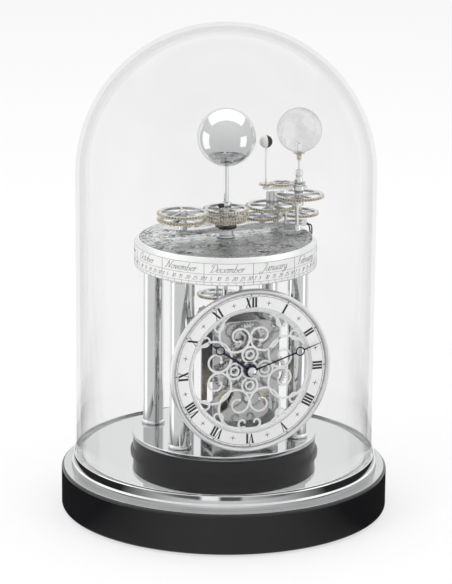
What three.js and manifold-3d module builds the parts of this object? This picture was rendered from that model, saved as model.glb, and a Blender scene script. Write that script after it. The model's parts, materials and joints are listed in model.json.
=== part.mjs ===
// Tellurion table clock under a glass dome: a pierced dial in front of a going train,
// and a geared sun, earth and moon that travel round the calendar drum on top.
// Millimetres, +Z up, origin at the centre of the underside, dial facing -Y.
import * as THREE from "three";
import { mergeVertices } from "three/addons/utils/BufferGeometryUtils.js";
import Module from "manifold-3d";

const wasm = await Module();
wasm.setup();

// Clearances
const GAP = 0.3;                      // between separate pieces, and of every running fit
const END_PLAY = 0.3;                 // along an arbor, between a piece and its stop

// Base
const FELT_THICKNESS = 1.5;
const FELT_RADIUS = 112;
const BASE_RADIUS = 120;
const BASE_HEIGHT = 30.1;
const BASE_EDGE = 1.2;                // chamfer of the lacquered edge
const POLISHED_RADIUS = 112.3;
const RIM_HEIGHT = 10.95;             // of the polished plate above the lacquered base
const RIM_WIDTH = 2.3;
const RIM_STEP = 4.4;                 // height of the lower step of the rim
const PLATE_SUNK = 1.15;              // polished surface below the top of its rim
const GROOVE_DEPTH = 2;

// Glass dome
const DOME_RADIUS = 109;
const DOME_WALL = 3.2;
const DOME_HEIGHT = 320.8;
const DOME_SIDES = 32;
const DOME_STEPS = 7;
const DOME_GROOVE_PLAY = 1;

// Plinth
const DRUM_RADIUS = 67.3;
const DRUM_HEIGHT = 12.7;
const DRUM_LIP = 1.9;
const DRUM_LIP_HEIGHT = 2.6;
const PLINTH_RADIUS = 67.7;
const PLINTH_THICKNESS = 3.3;

// Columns
const COLUMN_RADIUS = 7.5;
const COLUMN_DISTANCE = 55;           // from the centre line
const COLUMN_ANGLE = 35.5;            // of the pair on each side, from the X axis
const FOOT_WIDTH = 1.3;               // thickness of the foot ring's wall
const FOOT_HEIGHT = 2.6;

// Calendar drum
const CALENDAR_RADIUS = 66.4;
const CALENDAR_BAND = 16.5;           // height of the printed band
const CALENDAR_CHAMFER_RUN = 2.9;
const CALENDAR_CHAMFER_RISE = 3.3;
const CALENDAR_LAND = 0.7;
const CALENDAR_LEDGE = 2;
const SUPPORT_THICKNESS = 4;
const STAR_THICKNESS = 2;

// Centre line
const DAY_ARBOR = 2;                  // radius
const TUBE_WALL = 1.1;
const TUBE_FLANGE = 7;
const TUBE_FLANGE_THICKNESS = 3;
const TUBE_ABOVE = 9.3;               // centre tube above the star plate
const STEM_RADIUS = 1.76;
const SUN_RADIUS = 21.3;
const SUN_HEIGHT = 73.8;              // of its centre above the star plate
const STEM_SOCKET = 6;

// Wheels of the tellurion: teeth, and heights above the star plate
const DAY_TEETH = 41;
const LEFT_UPPER_TEETH = 46;
const LEFT_LOWER_TEETH = 45;
const SLEEVE_TEETH = 40;
const IDLER_TEETH = 44;
const MOON_WHEEL_TEETH = 49;
const MOON_PINION_TEETH = 9;
const PHASE_TEETH = 12;
const PHASE_IDLER_TEETH = 24;
const LEFT_REACH = 34;                // from the centre line to the left post
const IDLER_REACH = 29;               // and to the idler's post; the earth is twice as far out
const MOON_DISTANCE = 21.6;           // between the month wheel and the moon wheel
const PHASE_REACH = 12.5;             // between the wheels of the moon arm
const WHEEL_THICKNESS = 1.8;
const LEVEL_IDLER = 12;
const LEVEL_SLEEVE = 15.2;
const LEVEL_DAY = 19.7;
const LEVEL_MONTH = 19;
const LEVEL_MOON = 25;
const LEVEL_MOON_ARM = 31.6;
const RIM = 1.7;                      // wheel rim inside the teeth
const SPOKE = 1.6;
const SPOKES = 5;
const HUB_SHOULDER = 0.7;             // of a wheel's hub outside its sleeve

// Carriage
const ARM_ANGLE = 5;                  // of the arm at rest, about +Z from +X
const ARM_BOTTOM = 4.5;
const ARM_THICKNESS = 3.7;
const ARM_WIDTH = 7;
const ARM_END = 6;                    // arm beyond the earth's arbor
const HUB_RADIUS = 6.85;
const HUB_FLANGE = 7.85;
const HUB_HEIGHT = 8.2;
const POST_RADIUS = 1.2;
const LEFT_POST_RADIUS = 2;
const LOWER_POST_SIDE = 9.5;
const UPPER_POST_SIDE = 17;
const UPPER_POST_REACH = 49;
const BRIDGE_THICKNESS = 1.2;
const LOWER_BRIDGE = 16.3;
const UPPER_BRIDGE = 23;
const BRIDGE_WIDTH = 5;

// Earth and moon
const EARTH_RADIUS = 16.5;
const EARTH_HEIGHT = 74.5;
const EARTH_ARBOR = 1;
const FIXED_PIPE_WALL = 0.9;
const MOON_PIPE_WALL = 0.9;
const NUT_RADIUS = 3.2;
const NUT_TOP = 45.3;
const CUP_RADIUS = 4.2;
const CUP_HEIGHT = 4.5;
const MOON_RADIUS = 4.75;
const MOON_HEIGHT = 67;
const MOON_STEM = 0.7;
const MOON_ANGLE = 169.5;             // of the moon arm at rest, from the carriage arm

// Dial
const BEZEL_RADIUS = 60.5;
const BEZEL_FRONT = 60;               // distance in front of the centre line
const BEZEL_DEPTH = 5;
const BEZEL_WIDTH = 3.4;
const BEZEL_CLEAR = 0.5;              // bezel above the plinth plate
const BEZEL_HEADROOM = 5.1;           // calendar drum above the bezel
const CHAPTER_OUTER = 57;
const CHAPTER_INNER = 45.4;
const CHAPTER_THICKNESS = 1.5;
const CHAPTER_SUNK = 2.2;             // chapter ring behind the front of the bezel
const SCROLL_THICKNESS = 1;
const SCROLL_WIDTH = 1.4;
const DIAL_RIM = 2.4;                 // shown inside the chapter ring
const DIAL_FOOT_RADIUS = 1.5;
const SCROLL_EYE = 25;                // eye of a scroll, out from the dial centre
const SCROLL_SIDE = 8.6;              // and to each side of its lobe
const SCROLL_START = 17.6;
const SCROLL_END = 3.5;
const SCROLL_SWEEP = 515;             // degrees
const PETAL_OUT = 11.5;
const PETAL_RADIUS = 5.8;
const SHEET_HUB = 5.2;
const CURL_EYE = 39.4;                // small curls at the foot of the sheet
const CURL_SIDE = 5;
const CURL_START = 4.6;
const CURL_END = 1.6;

// Going train
const PLATE_WIDTH = 50;
const PLATE_THICKNESS = 2.2;
const PLATE_TOP = 34;                 // above the dial centre
const FRONT_PLATE = 46;               // back face of the front plate, from the centre line
const BACK_PLATE = 20;                // back face of the back plate
const PILLAR_RADIUS = 2.4;
const PILLAR_INSET = 4;               // pillar centres inside the plate's edges
const PLATE_LEG = 12;                 // width of the plate's two feet
const PLATE_ARCH = 8;                 // height of the opening between them
const PLATE_CORNER = 6;
const ARBOR_RADIUS = 1.1;
const CENTRE_ARBOR = 1.5;
const BARREL_TEETH = 40;
const CENTRE_PINION_TEETH = 8;
const CENTRE_WHEEL_TEETH = 48;
const THIRD_WHEEL_TEETH = 45;
const SMALL_PINION_TEETH = 6;
const TRAIN_MODULE = 2 / 3;
const BARREL_DISTANCE = 24;
const BARREL_RADIUS = 17.5;
const BARREL_DRUM = 10.4;
const THIRD_ANGLE = -20;
const ESCAPE_ANGLE = 90;
const ESCAPE_TEETH = 15;
const ESCAPE_RADIUS = 7;
const BALANCE_RADIUS = 8;
const CANNON_TEETH = 10;
const MINUTE_WHEEL_TEETH = 30;
const MOTION_PINION_TEETH = 8;
const HOUR_WHEEL_TEETH = 32;
const MOTION_DISTANCE = 14;
const MOTION_ANGLE = 200;
const TRANSFER_PINION_TEETH = 12;
const CROWN_TEETH = 24;
const CROWN_MODULE = 4 / 3;
const CROWN_FACE = 3;
const YEAR_PINION_TEETH = 12;
const YEAR_WHEEL_TEETH = 48;
const YEAR_MODULE = 0.6;
const YEAR_RISE = 17.4;               // year wheel above the drive bridge
const ROD_RADIUS = 1.9;
const ROD_SIDE = 19;
const ROD_BACK = 19.2;
const DRIVE_BRIDGE_RISE = 4.8;        // above the pitch line of the crown wheel
const DRIVE_BRIDGE_THICKNESS = 2.2;
const DRIVE_BRIDGE_WIDTH = 7;

// Hands at 10:12
const HOUR_HAND_LENGTH = 40.8;
const HOUR_EYE = 29;
const MINUTE_HAND_LENGTH = 55.5;
const MINUTE_EYE = 38.8;
const EYE_RADIUS = 3.5;
const HAND_THICKNESS = 0.6;
const HOUR_SHOWN = 10.2;
const CAP_RADIUS = 4;

// Levels that follow from the sizes above
const BASE_TOP = FELT_THICKNESS + BASE_HEIGHT;
const RIM_TOP = BASE_TOP + RIM_HEIGHT;
const SURFACE = RIM_TOP - PLATE_SUNK;
const GROOVE_FLOOR = SURFACE - GROOVE_DEPTH;
const GROOVE_OUTER = DOME_RADIUS + DOME_GROOVE_PLAY;
const GROOVE_INNER = DOME_RADIUS - DOME_WALL - DOME_GROOVE_PLAY;
const DRUM_TOP = SURFACE + DRUM_HEIGHT;
const PLINTH_TOP = DRUM_TOP + PLINTH_THICKNESS;
const COLUMN_HEIGHT = BEZEL_CLEAR + 2 * BEZEL_RADIUS + BEZEL_HEADROOM;
const SUPPORT_BOTTOM = PLINTH_TOP + COLUMN_HEIGHT;
const CALENDAR_BOTTOM = SUPPORT_BOTTOM;
const STAR_TOP = CALENDAR_BOTTOM + CALENDAR_BAND + CALENDAR_CHAMFER_RISE;
const STAR_RADIUS = CALENDAR_RADIUS - CALENDAR_CHAMFER_RUN - CALENDAR_LAND - GAP;
const TUBE_BORE = DAY_ARBOR + GAP;
const TUBE_RADIUS = TUBE_BORE + TUBE_WALL;
const DIAL_CENTRE = PLINTH_TOP + BEZEL_RADIUS + BEZEL_CLEAR;
const BIG_SIDES = 36;
const BORE_SIDES = 10;
const RIGHT_ANGLE = Math.PI / 2;
const TURN = 2 * Math.PI;

// Materials
const paint = (color, roughness, metalness) =>
  new THREE.MeshStandardMaterial({ color, roughness, metalness });
const LACQUER = paint(0x0c0c0d, 0.15, 0);
const FELT = paint(0x2b2b2d, 0.95, 0);
const POLISHED = paint(0xe3e4e6, 0.12, 1);
const CHROME = paint(0xd6d8db, 0.06, 1);
const STEEL = paint(0xb9bbbf, 0.3, 1);
const WHEEL = paint(0xc9c2b0, 0.28, 1);
const BRASS = paint(0xb99a5b, 0.3, 1);
const SILVERED = paint(0xf1f1ef, 0.45, 0.1);
const ENGRAVED = paint(0x77797c, 0.4, 0.9);
const BLUED = paint(0x1d2233, 0.3, 0.8);
const BLACK = paint(0x101012, 0.4, 0.2);
const CRYSTAL = paint(0xf2f4f6, 0.1, 0);
const MOON_WHITE = paint(0xe8e8e4, 0.5, 0);
const GLASS = new THREE.MeshStandardMaterial({
  color: 0xf4f8f9, roughness: 0.03, metalness: 0, transparent: true, opacity: 0.25,
});

const rad = (degrees) => degrees * Math.PI / 180;
const polar = (radius, angle) => [radius * Math.cos(angle), radius * Math.sin(angle)];

// A closed solid from a geometry, with its faces turned out
function solid(geometry) {
  const bare = new THREE.BufferGeometry();
  bare.setAttribute("position", geometry.getAttribute("position"));
  if (geometry.index) bare.setIndex(geometry.index);
  const merged = mergeVertices(bare, 1e-4);
  const points = merged.getAttribute("position").array;
  const faces = [];
  const source = merged.index.array;
  let volume = 0;
  for (let i = 0; i < source.length; i += 3) {
    const [a, b, c] = [source[i], source[i + 1], source[i + 2]];
    if (a === b || b === c || c === a) continue;
    faces.push(a, b, c);
    volume += points[3 * a] * (points[3 * b + 1] * points[3 * c + 2] - points[3 * b + 2] * points[3 * c + 1])
      - points[3 * a + 1] * (points[3 * b] * points[3 * c + 2] - points[3 * b + 2] * points[3 * c])
      + points[3 * a + 2] * (points[3 * b] * points[3 * c + 1] - points[3 * b + 1] * points[3 * c]);
  }
  if (volume < 0) faces.reverse();
  return new wasm.Manifold(new wasm.Mesh({
    numProp: 3, vertProperties: new Float32Array(points), triVerts: new Uint32Array(faces),
  }));
}

const join = (first, ...rest) => rest.reduce((sum, next) => sum.add(next), first);
const cut = (first, ...rest) => rest.reduce((sum, next) => sum.subtract(next), first);

// Faces left in one plane by a join are merged
const SMOOTHING = 0.004;
function geometryOf(body) {
  const mesh = body.asOriginal().simplify(SMOOTHING).getMesh();
  const geometry = new THREE.BufferGeometry();
  const points = new Float32Array(mesh.numVert * 3);
  for (let i = 0; i < mesh.numVert; i++) {
    for (let k = 0; k < 3; k++) points[3 * i + k] = mesh.vertProperties[i * mesh.numProp + k];
  }
  geometry.setAttribute("position", new THREE.BufferAttribute(points, 3));
  geometry.setIndex(new THREE.BufferAttribute(new Uint32Array(mesh.triVerts), 1));
  return geometry;
}

// A turned piece: the profile is a closed list of [radius, height]
function turned(profile, sides) {
  const points = [...profile, profile[0]].map(([radius, height]) => new THREE.Vector2(radius, height));
  return solid(new THREE.LatheGeometry(points, sides).rotateX(RIGHT_ANGLE));
}

const rod = (radius, bottom, top, sides = 10, x = 0, y = 0) => solid(
  new THREE.CylinderGeometry(radius, radius, top - bottom, sides)
    .rotateX(RIGHT_ANGLE).translate(x, y, (bottom + top) / 2));

const ring = (inner, outer, bottom, top, sides) => turned(
  [[inner, bottom], [outer, bottom], [outer, top], [inner, top]], sides);

const block = (x0, x1, y0, y1, z0, z1) => solid(
  new THREE.BoxGeometry(x1 - x0, y1 - y0, z1 - z0)
    .translate((x0 + x1) / 2, (y0 + y1) / 2, (z0 + z1) / 2));

const plate = (outline, bottom, thickness, curveSegments = 6) => solid(
  new THREE.ExtrudeGeometry(outline, { depth: thickness, bevelEnabled: false, curveSegments })
    .translate(0, 0, bottom));

function circleShape(radius, sides, x = 0, y = 0) {
  const points = [];
  for (let i = 0; i < sides; i++) {
    const [px, py] = polar(radius, i * TURN / sides);
    points.push(new THREE.Vector2(x + px, y + py));
  }
  return points;
}

// Toothed outline: a tip at angle zero, flanks straight from tip to root
function toothOutline(teeth, module) {
  const points = [];
  for (let i = 0; i < teeth; i++) {
    const tip = polar(module * (teeth / 2 + 1), i * TURN / teeth);
    const root = polar(module * (teeth / 2 - 1.25), (i + 0.5) * TURN / teeth);
    points.push(new THREE.Vector2(...tip), new THREE.Vector2(...root));
  }
  return points;
}

// A wheel with arms: a rim, a hub and open windows between the spokes
function wheel({
  teeth, module, bottom, thickness = WHEEL_THICKNESS, bore, sleeve, rim = RIM, spokes = SPOKES,
}) {
  const shape = new THREE.Shape(toothOutline(teeth, module));
  const hub = sleeve + HUB_SHOULDER;
  const rimInner = module * (teeth / 2 - 1.25) - rim;
  if (spokes > 0) {
    const outerHalf = Math.PI / spokes - Math.asin(SPOKE / 2 / rimInner);
    const innerHalf = Math.PI / spokes - Math.asin(Math.min(1, SPOKE / 2 / hub));
    for (let i = 0; i < spokes; i++) {
      const middle = (i + 0.5) * TURN / spokes;
      const window = [];
      const steps = 2;
      for (let k = 0; k <= steps; k++) {
        window.push(new THREE.Vector2(...polar(rimInner, middle - outerHalf + 2 * outerHalf * k / steps)));
      }
      window.push(new THREE.Vector2(...polar(hub, middle + innerHalf)));
      window.push(new THREE.Vector2(...polar(hub, middle - innerHalf)));
      shape.holes.push(new THREE.Path(window.reverse()));
    }
  }
  shape.holes.push(new THREE.Path(circleShape(bore, BORE_SIDES).reverse()));
  return plate(shape, bottom, thickness);
}

function pinion(teeth, module, bottom, top, bore = 0) {
  const shape = new THREE.Shape(toothOutline(teeth, module));
  if (bore > 0) shape.holes.push(new THREE.Path(circleShape(bore, BORE_SIDES).reverse()));
  return plate(shape, bottom, top - bottom);
}

// Turn of a wheel that puts its gap against the other wheel's tooth.
// angle is the direction from the first wheel's centre to the second's.
function meshPhase(firstPhase, firstTeeth, secondTeeth, angle) {
  const ahead = (angle - firstPhase) / (TURN / firstTeeth);
  const part = ahead - Math.floor(ahead);
  return angle + Math.PI + (part + 0.5) * TURN / secondTeeth;
}

const pitchRadius = (teeth, module) => teeth * module / 2;

const object = new THREE.Group();

function add(parent, name, body, material, turn = 0, x = 0, y = 0) {
  const mesh = new THREE.Mesh(geometryOf(body), material);
  mesh.name = name;
  mesh.rotation.z = turn;
  mesh.position.set(x, y, 0);
  parent.add(mesh);
}

// Base, plinth and columns
add(object, "felt_pad", rod(FELT_RADIUS, 0, FELT_THICKNESS, 36), FELT);
add(object, "base_disc", turned([
  [0, FELT_THICKNESS], [BASE_RADIUS - BASE_EDGE, FELT_THICKNESS],
  [BASE_RADIUS, FELT_THICKNESS + BASE_EDGE], [BASE_RADIUS, BASE_TOP - BASE_EDGE],
  [BASE_RADIUS - BASE_EDGE, BASE_TOP], [0, BASE_TOP],
], BIG_SIDES), LACQUER);
add(object, "base_plate", turned([
  [0, BASE_TOP], [POLISHED_RADIUS, BASE_TOP], [POLISHED_RADIUS, BASE_TOP + RIM_STEP],
  [POLISHED_RADIUS - RIM_WIDTH / 2, BASE_TOP + RIM_STEP], [POLISHED_RADIUS - RIM_WIDTH / 2, RIM_TOP],
  [GROOVE_OUTER, RIM_TOP], [GROOVE_OUTER, GROOVE_FLOOR], [GROOVE_INNER, GROOVE_FLOOR],
  [GROOVE_INNER, SURFACE], [0, SURFACE],
], BIG_SIDES), POLISHED);
add(object, "plinth_drum", turned([
  [0, SURFACE], [DRUM_RADIUS + DRUM_LIP, SURFACE], [DRUM_RADIUS + DRUM_LIP, SURFACE + DRUM_LIP_HEIGHT],
  [DRUM_RADIUS, SURFACE + 2 * DRUM_LIP_HEIGHT], [DRUM_RADIUS, DRUM_TOP], [0, DRUM_TOP],
], BIG_SIDES), LACQUER);
add(object, "plinth_plate", turned([
  [0, DRUM_TOP], [PLINTH_RADIUS, DRUM_TOP], [PLINTH_RADIUS, PLINTH_TOP - GAP],
  [PLINTH_RADIUS - GAP, PLINTH_TOP], [0, PLINTH_TOP],
], BIG_SIDES), CHROME);

const columnPlaces = [
  ["front_left", 180 + COLUMN_ANGLE], ["front_right", -COLUMN_ANGLE],
  ["rear_left", 180 - COLUMN_ANGLE], ["rear_right", COLUMN_ANGLE],
];
for (const [place, angle] of columnPlaces) {
  const [x, y] = polar(COLUMN_DISTANCE, rad(angle));
  const middle = PLINTH_TOP + FOOT_HEIGHT / 2;
  add(object, `column_${place}`, turned([
    [0, PLINTH_TOP], [COLUMN_RADIUS + FOOT_WIDTH / 2, PLINTH_TOP], [COLUMN_RADIUS + FOOT_WIDTH, middle],
    [COLUMN_RADIUS + FOOT_WIDTH / 2, PLINTH_TOP + FOOT_HEIGHT], [COLUMN_RADIUS, PLINTH_TOP + FOOT_HEIGHT],
    [COLUMN_RADIUS, SUPPORT_BOTTOM], [0, SUPPORT_BOTTOM],
  ], 16), CHROME, 0, x, y);
}

// Glass dome
function domeProfile(radius, steps) {
  const centre = GROOVE_FLOOR + DOME_HEIGHT - DOME_RADIUS;
  const points = [];
  for (let i = 0; i <= steps; i++) {
    const [r, z] = polar(radius, RIGHT_ANGLE * i / steps);
    points.push([i === steps ? 0 : r, centre + z]);
  }
  return points;
}
add(object, "glass_dome", turned([
  [DOME_RADIUS - DOME_WALL, GROOVE_FLOOR], [DOME_RADIUS, GROOVE_FLOOR],
  ...domeProfile(DOME_RADIUS, DOME_STEPS), ...domeProfile(DOME_RADIUS - DOME_WALL, DOME_STEPS).reverse(),
], DOME_SIDES), GLASS);

// Calendar drum
const RING_INNER = STAR_RADIUS + GAP - CALENDAR_LEDGE;
const SUPPORT_RADIUS = RING_INNER - GAP;
add(object, "calendar_ring", turned([
  [RING_INNER, CALENDAR_BOTTOM], [CALENDAR_RADIUS, CALENDAR_BOTTOM],
  [CALENDAR_RADIUS, CALENDAR_BOTTOM + CALENDAR_BAND], [CALENDAR_RADIUS - CALENDAR_CHAMFER_RUN, STAR_TOP],
  [STAR_RADIUS + GAP, STAR_TOP], [STAR_RADIUS + GAP, STAR_TOP - STAR_THICKNESS],
  [RING_INNER, STAR_TOP - STAR_THICKNESS],
], BIG_SIDES), SILVERED);
const YEAR_DISTANCE = pitchRadius(YEAR_PINION_TEETH + YEAR_WHEEL_TEETH, YEAR_MODULE);
const SUPPORT_TOP = SUPPORT_BOTTOM + SUPPORT_THICKNESS;
add(object, "support_plate", cut(
  ring(TUBE_RADIUS + GAP, SUPPORT_RADIUS, SUPPORT_BOTTOM, SUPPORT_TOP, BIG_SIDES),
  rod(ARBOR_RADIUS + GAP, SUPPORT_BOTTOM - 1, SUPPORT_TOP + 1, 10, 0, YEAR_DISTANCE),
), CHROME);
add(object, "star_plate", ring(
  TUBE_RADIUS + GAP, STAR_RADIUS, STAR_TOP - STAR_THICKNESS, STAR_TOP, BIG_SIDES), ENGRAVED);
add(object, "centre_tube", turned([
  [TUBE_BORE, SUPPORT_BOTTOM - TUBE_FLANGE_THICKNESS], [TUBE_FLANGE, SUPPORT_BOTTOM - TUBE_FLANGE_THICKNESS],
  [TUBE_FLANGE, SUPPORT_BOTTOM], [TUBE_RADIUS, SUPPORT_BOTTOM], [TUBE_RADIUS, STAR_TOP + TUBE_ABOVE],
  [TUBE_BORE, STAR_TOP + TUBE_ABOVE],
], 16), STEEL);

// Day arbor on the centre line, from the drive bridge to the sun
const TRANSFER_HEIGHT = DIAL_CENTRE + 2 * pitchRadius(HOUR_WHEEL_TEETH, 2 * MOTION_DISTANCE
  / (MOTION_PINION_TEETH + HOUR_WHEEL_TEETH));
const CROWN_PITCH = TRANSFER_HEIGHT - pitchRadius(TRANSFER_PINION_TEETH, CROWN_MODULE);
const CROWN_ROOT = CROWN_PITCH - 1.25 * CROWN_MODULE;
const DRIVE_BRIDGE = CROWN_PITCH + DRIVE_BRIDGE_RISE;
const DRIVE_BRIDGE_TOP = DRIVE_BRIDGE + DRIVE_BRIDGE_THICKNESS;
const YEAR_LEVEL = DRIVE_BRIDGE + YEAR_RISE;
const CROWN_RADIUS = pitchRadius(CROWN_TEETH, CROWN_MODULE);
const SUN_CENTRE = STAR_TOP + SUN_HEIGHT;
const COLLAR_TOP = STAR_TOP + LEVEL_DAY + 6.3;
add(object, "day_arbor", join(
  rod(DAY_ARBOR, CROWN_ROOT - WHEEL_THICKNESS - 1, COLLAR_TOP - 1, 12),
  rod(STEM_RADIUS, COLLAR_TOP - 2, SUN_CENTRE - SUN_RADIUS + STEM_SOCKET - END_PLAY, 12),
  pinion(YEAR_PINION_TEETH, YEAR_MODULE, YEAR_LEVEL - 1, YEAR_LEVEL + 3),
), STEEL);

const crownTooth = () => {
  const half = 0.45 * Math.PI * CROWN_MODULE;
  const outline = new THREE.Shape([
    new THREE.Vector2(-half, -0.1), new THREE.Vector2(half, -0.1), new THREE.Vector2(0, 2.25 * CROWN_MODULE),
  ]);
  return solid(new THREE.ExtrudeGeometry(outline, { depth: CROWN_FACE, bevelEnabled: false })
    .rotateX(RIGHT_ANGLE).translate(0, -CROWN_RADIUS + CROWN_FACE / 2, CROWN_ROOT));
};
const crownTurn = (index) => (index + 0.5) * 360 / CROWN_TEETH;
const crown = join(
  ring(DAY_ARBOR + GAP, CROWN_RADIUS + CROWN_FACE / 2, CROWN_ROOT - WHEEL_THICKNESS, CROWN_ROOT, CROWN_TEETH),
  ring(DAY_ARBOR + GAP, DAY_ARBOR + 1.6, CROWN_ROOT - WHEEL_THICKNESS, CROWN_ROOT + 2.4, 12),
  ...Array.from({ length: CROWN_TEETH }, (_, index) => crownTooth().rotate([0, 0, crownTurn(index)])),
);
add(object, "crown_wheel", crown, WHEEL);

// First wheel of the year train, behind the centre line; its arbor runs up into the drum
add(object, "year_wheel", join(
  wheel({
    teeth: YEAR_WHEEL_TEETH, module: YEAR_MODULE, bottom: YEAR_LEVEL, bore: ARBOR_RADIUS / 2, sleeve: 2,
  }),
  rod(ARBOR_RADIUS, DRIVE_BRIDGE + GAP, SUPPORT_TOP + 4, 10),
), WHEEL, meshPhase(0, YEAR_PINION_TEETH, YEAR_WHEEL_TEETH, RIGHT_ANGLE), 0, YEAR_DISTANCE);

// Drive bridge on two tie rods between the plinth and the support plate
const bridgeOutline = new THREE.Shape([
  [-ROD_SIDE - DRIVE_BRIDGE_WIDTH / 2, ROD_BACK - DRIVE_BRIDGE_WIDTH / 2],
  [-DRIVE_BRIDGE_WIDTH / 2, ROD_BACK - DRIVE_BRIDGE_WIDTH / 2], [-DRIVE_BRIDGE_WIDTH / 2, -4],
  [DRIVE_BRIDGE_WIDTH / 2, -4], [DRIVE_BRIDGE_WIDTH / 2, ROD_BACK - DRIVE_BRIDGE_WIDTH / 2],
  [ROD_SIDE + DRIVE_BRIDGE_WIDTH / 2, ROD_BACK - DRIVE_BRIDGE_WIDTH / 2],
  [ROD_SIDE + DRIVE_BRIDGE_WIDTH / 2, ROD_BACK + DRIVE_BRIDGE_WIDTH / 2],
  [-ROD_SIDE - DRIVE_BRIDGE_WIDTH / 2, ROD_BACK + DRIVE_BRIDGE_WIDTH / 2],
].map(([x, y]) => new THREE.Vector2(x, y)));
const throughBridge = (radius, x, y) =>
  rod(radius + GAP, DRIVE_BRIDGE - 1, DRIVE_BRIDGE_TOP + 1, 12, x, y);
add(object, "drive_bridge", cut(
  plate(bridgeOutline, DRIVE_BRIDGE, DRIVE_BRIDGE_THICKNESS),
  throughBridge(ROD_RADIUS, -ROD_SIDE, ROD_BACK), throughBridge(ROD_RADIUS, ROD_SIDE, ROD_BACK),
  throughBridge(DAY_ARBOR, 0, 0), throughBridge(ARBOR_RADIUS, 0, YEAR_DISTANCE),
), STEEL);
for (const [name, x] of [["tie_rod_left", -ROD_SIDE], ["tie_rod_right", ROD_SIDE]]) {
  add(object, name, rod(ROD_RADIUS, PLINTH_TOP, SUPPORT_BOTTOM, 12), CHROME, 0, x, ROD_BACK);
}

// Dial and going train: x to the right, y up from the dial centre, z towards the viewer
const train = new THREE.Group();
train.rotation.x = RIGHT_ANGLE;
train.position.set(0, 0, DIAL_CENTRE);
object.add(train);

const FRONT_PLATE_FRONT = FRONT_PLATE + PLATE_THICKNESS;
const BACK_PLATE_FRONT = BACK_PLATE + PLATE_THICKNESS;
const BEZEL_BACK = BEZEL_FRONT - BEZEL_DEPTH;
const CHAPTER_FRONT = BEZEL_FRONT - CHAPTER_SUNK;
const CHAPTER_BACK = CHAPTER_FRONT - CHAPTER_THICKNESS;

// The bezel carries the chapter ring on its inner ledge
add(train, "dial_bezel", turned([
  [BEZEL_RADIUS - BEZEL_WIDTH - 2, BEZEL_BACK], [BEZEL_RADIUS - 0.8, BEZEL_BACK],
  [BEZEL_RADIUS, BEZEL_BACK + 0.8], [BEZEL_RADIUS, BEZEL_FRONT - 1.4],
  [BEZEL_RADIUS - BEZEL_WIDTH / 2, BEZEL_FRONT], [CHAPTER_OUTER + GAP, CHAPTER_FRONT],
  [CHAPTER_OUTER + GAP, CHAPTER_BACK], [BEZEL_RADIUS - BEZEL_WIDTH - 2, CHAPTER_BACK],
], BIG_SIDES), CHROME);
add(train, "chapter_ring", ring(
  CHAPTER_INNER, CHAPTER_OUTER, CHAPTER_BACK, CHAPTER_FRONT, BIG_SIDES), SILVERED);

// Pierced dial centre: scrolls, rings and bars of one width, sawn from one sheet
const SCROLL_BACK = CHAPTER_BACK;
const strip = (points) => {
  const half = SCROLL_WIDTH / 2;
  const left = [];
  const right = [];
  points.forEach((point, i) => {
    const before = points[Math.max(0, i - 1)];
    const after = points[Math.min(points.length - 1, i + 1)];
    const along = new THREE.Vector2(after[0] - before[0], after[1] - before[1]).normalize();
    left.push(new THREE.Vector2(point[0] - along.y * half, point[1] + along.x * half));
    right.push(new THREE.Vector2(point[0] + along.y * half, point[1] - along.x * half));
  });
  const outline = new THREE.Shape([...left, ...right.reverse()]);
  return plate(outline, SCROLL_BACK - SCROLL_THICKNESS, SCROLL_THICKNESS);
};
// A scroll winds in round its eye while its radius falls in the same ratio at each step
function scroll(eyeX, eyeY, startRadius, endRadius, startAngle, sweep, steps, turn) {
  const points = [];
  for (let i = 0; i <= steps; i++) {
    const part = i / steps;
    const angle = rad(startAngle + sweep * part);
    const radius = startRadius * (endRadius / startRadius) ** part;
    const [x, y] = [eyeX + radius * Math.cos(angle), eyeY + radius * Math.sin(angle)];
    const [c, s] = [Math.cos(rad(turn)), Math.sin(rad(turn))];
    points.push([c * x - s * y, s * x + c * y]);
  }
  return strip(points);
}
const SCROLL_LOBES = 4;
const sheet = [
  ring(SHEET_HUB, SHEET_HUB + SCROLL_WIDTH, SCROLL_BACK - SCROLL_THICKNESS, SCROLL_BACK, 12),
  ring(CHAPTER_INNER - DIAL_RIM, CHAPTER_INNER + 1.6, SCROLL_BACK - SCROLL_THICKNESS, SCROLL_BACK, BIG_SIDES),
];
for (let lobe = 0; lobe < SCROLL_LOBES; lobe++) {
  const turn = lobe * 360 / SCROLL_LOBES;
  for (const hand of [1, -1]) {
    sheet.push(scroll(hand * SCROLL_SIDE, SCROLL_EYE, SCROLL_START, SCROLL_END, 90 - hand * 25,
      hand * -SCROLL_SWEEP, 12, turn));
  }
  sheet.push(scroll(0, PETAL_OUT, PETAL_RADIUS, PETAL_RADIUS, 90, 360, 8, turn));
}
const FOOT_SCROLL = 180;
for (const hand of [1, -1]) {
  sheet.push(scroll(hand * CURL_SIDE, CURL_EYE, CURL_START, CURL_END, 90 + hand * 10, hand * -270, 5,
    FOOT_SCROLL));
}
add(train, "dial_centre", sheet.reduce((sum, next) => sum.add(next)), CHROME);

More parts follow.
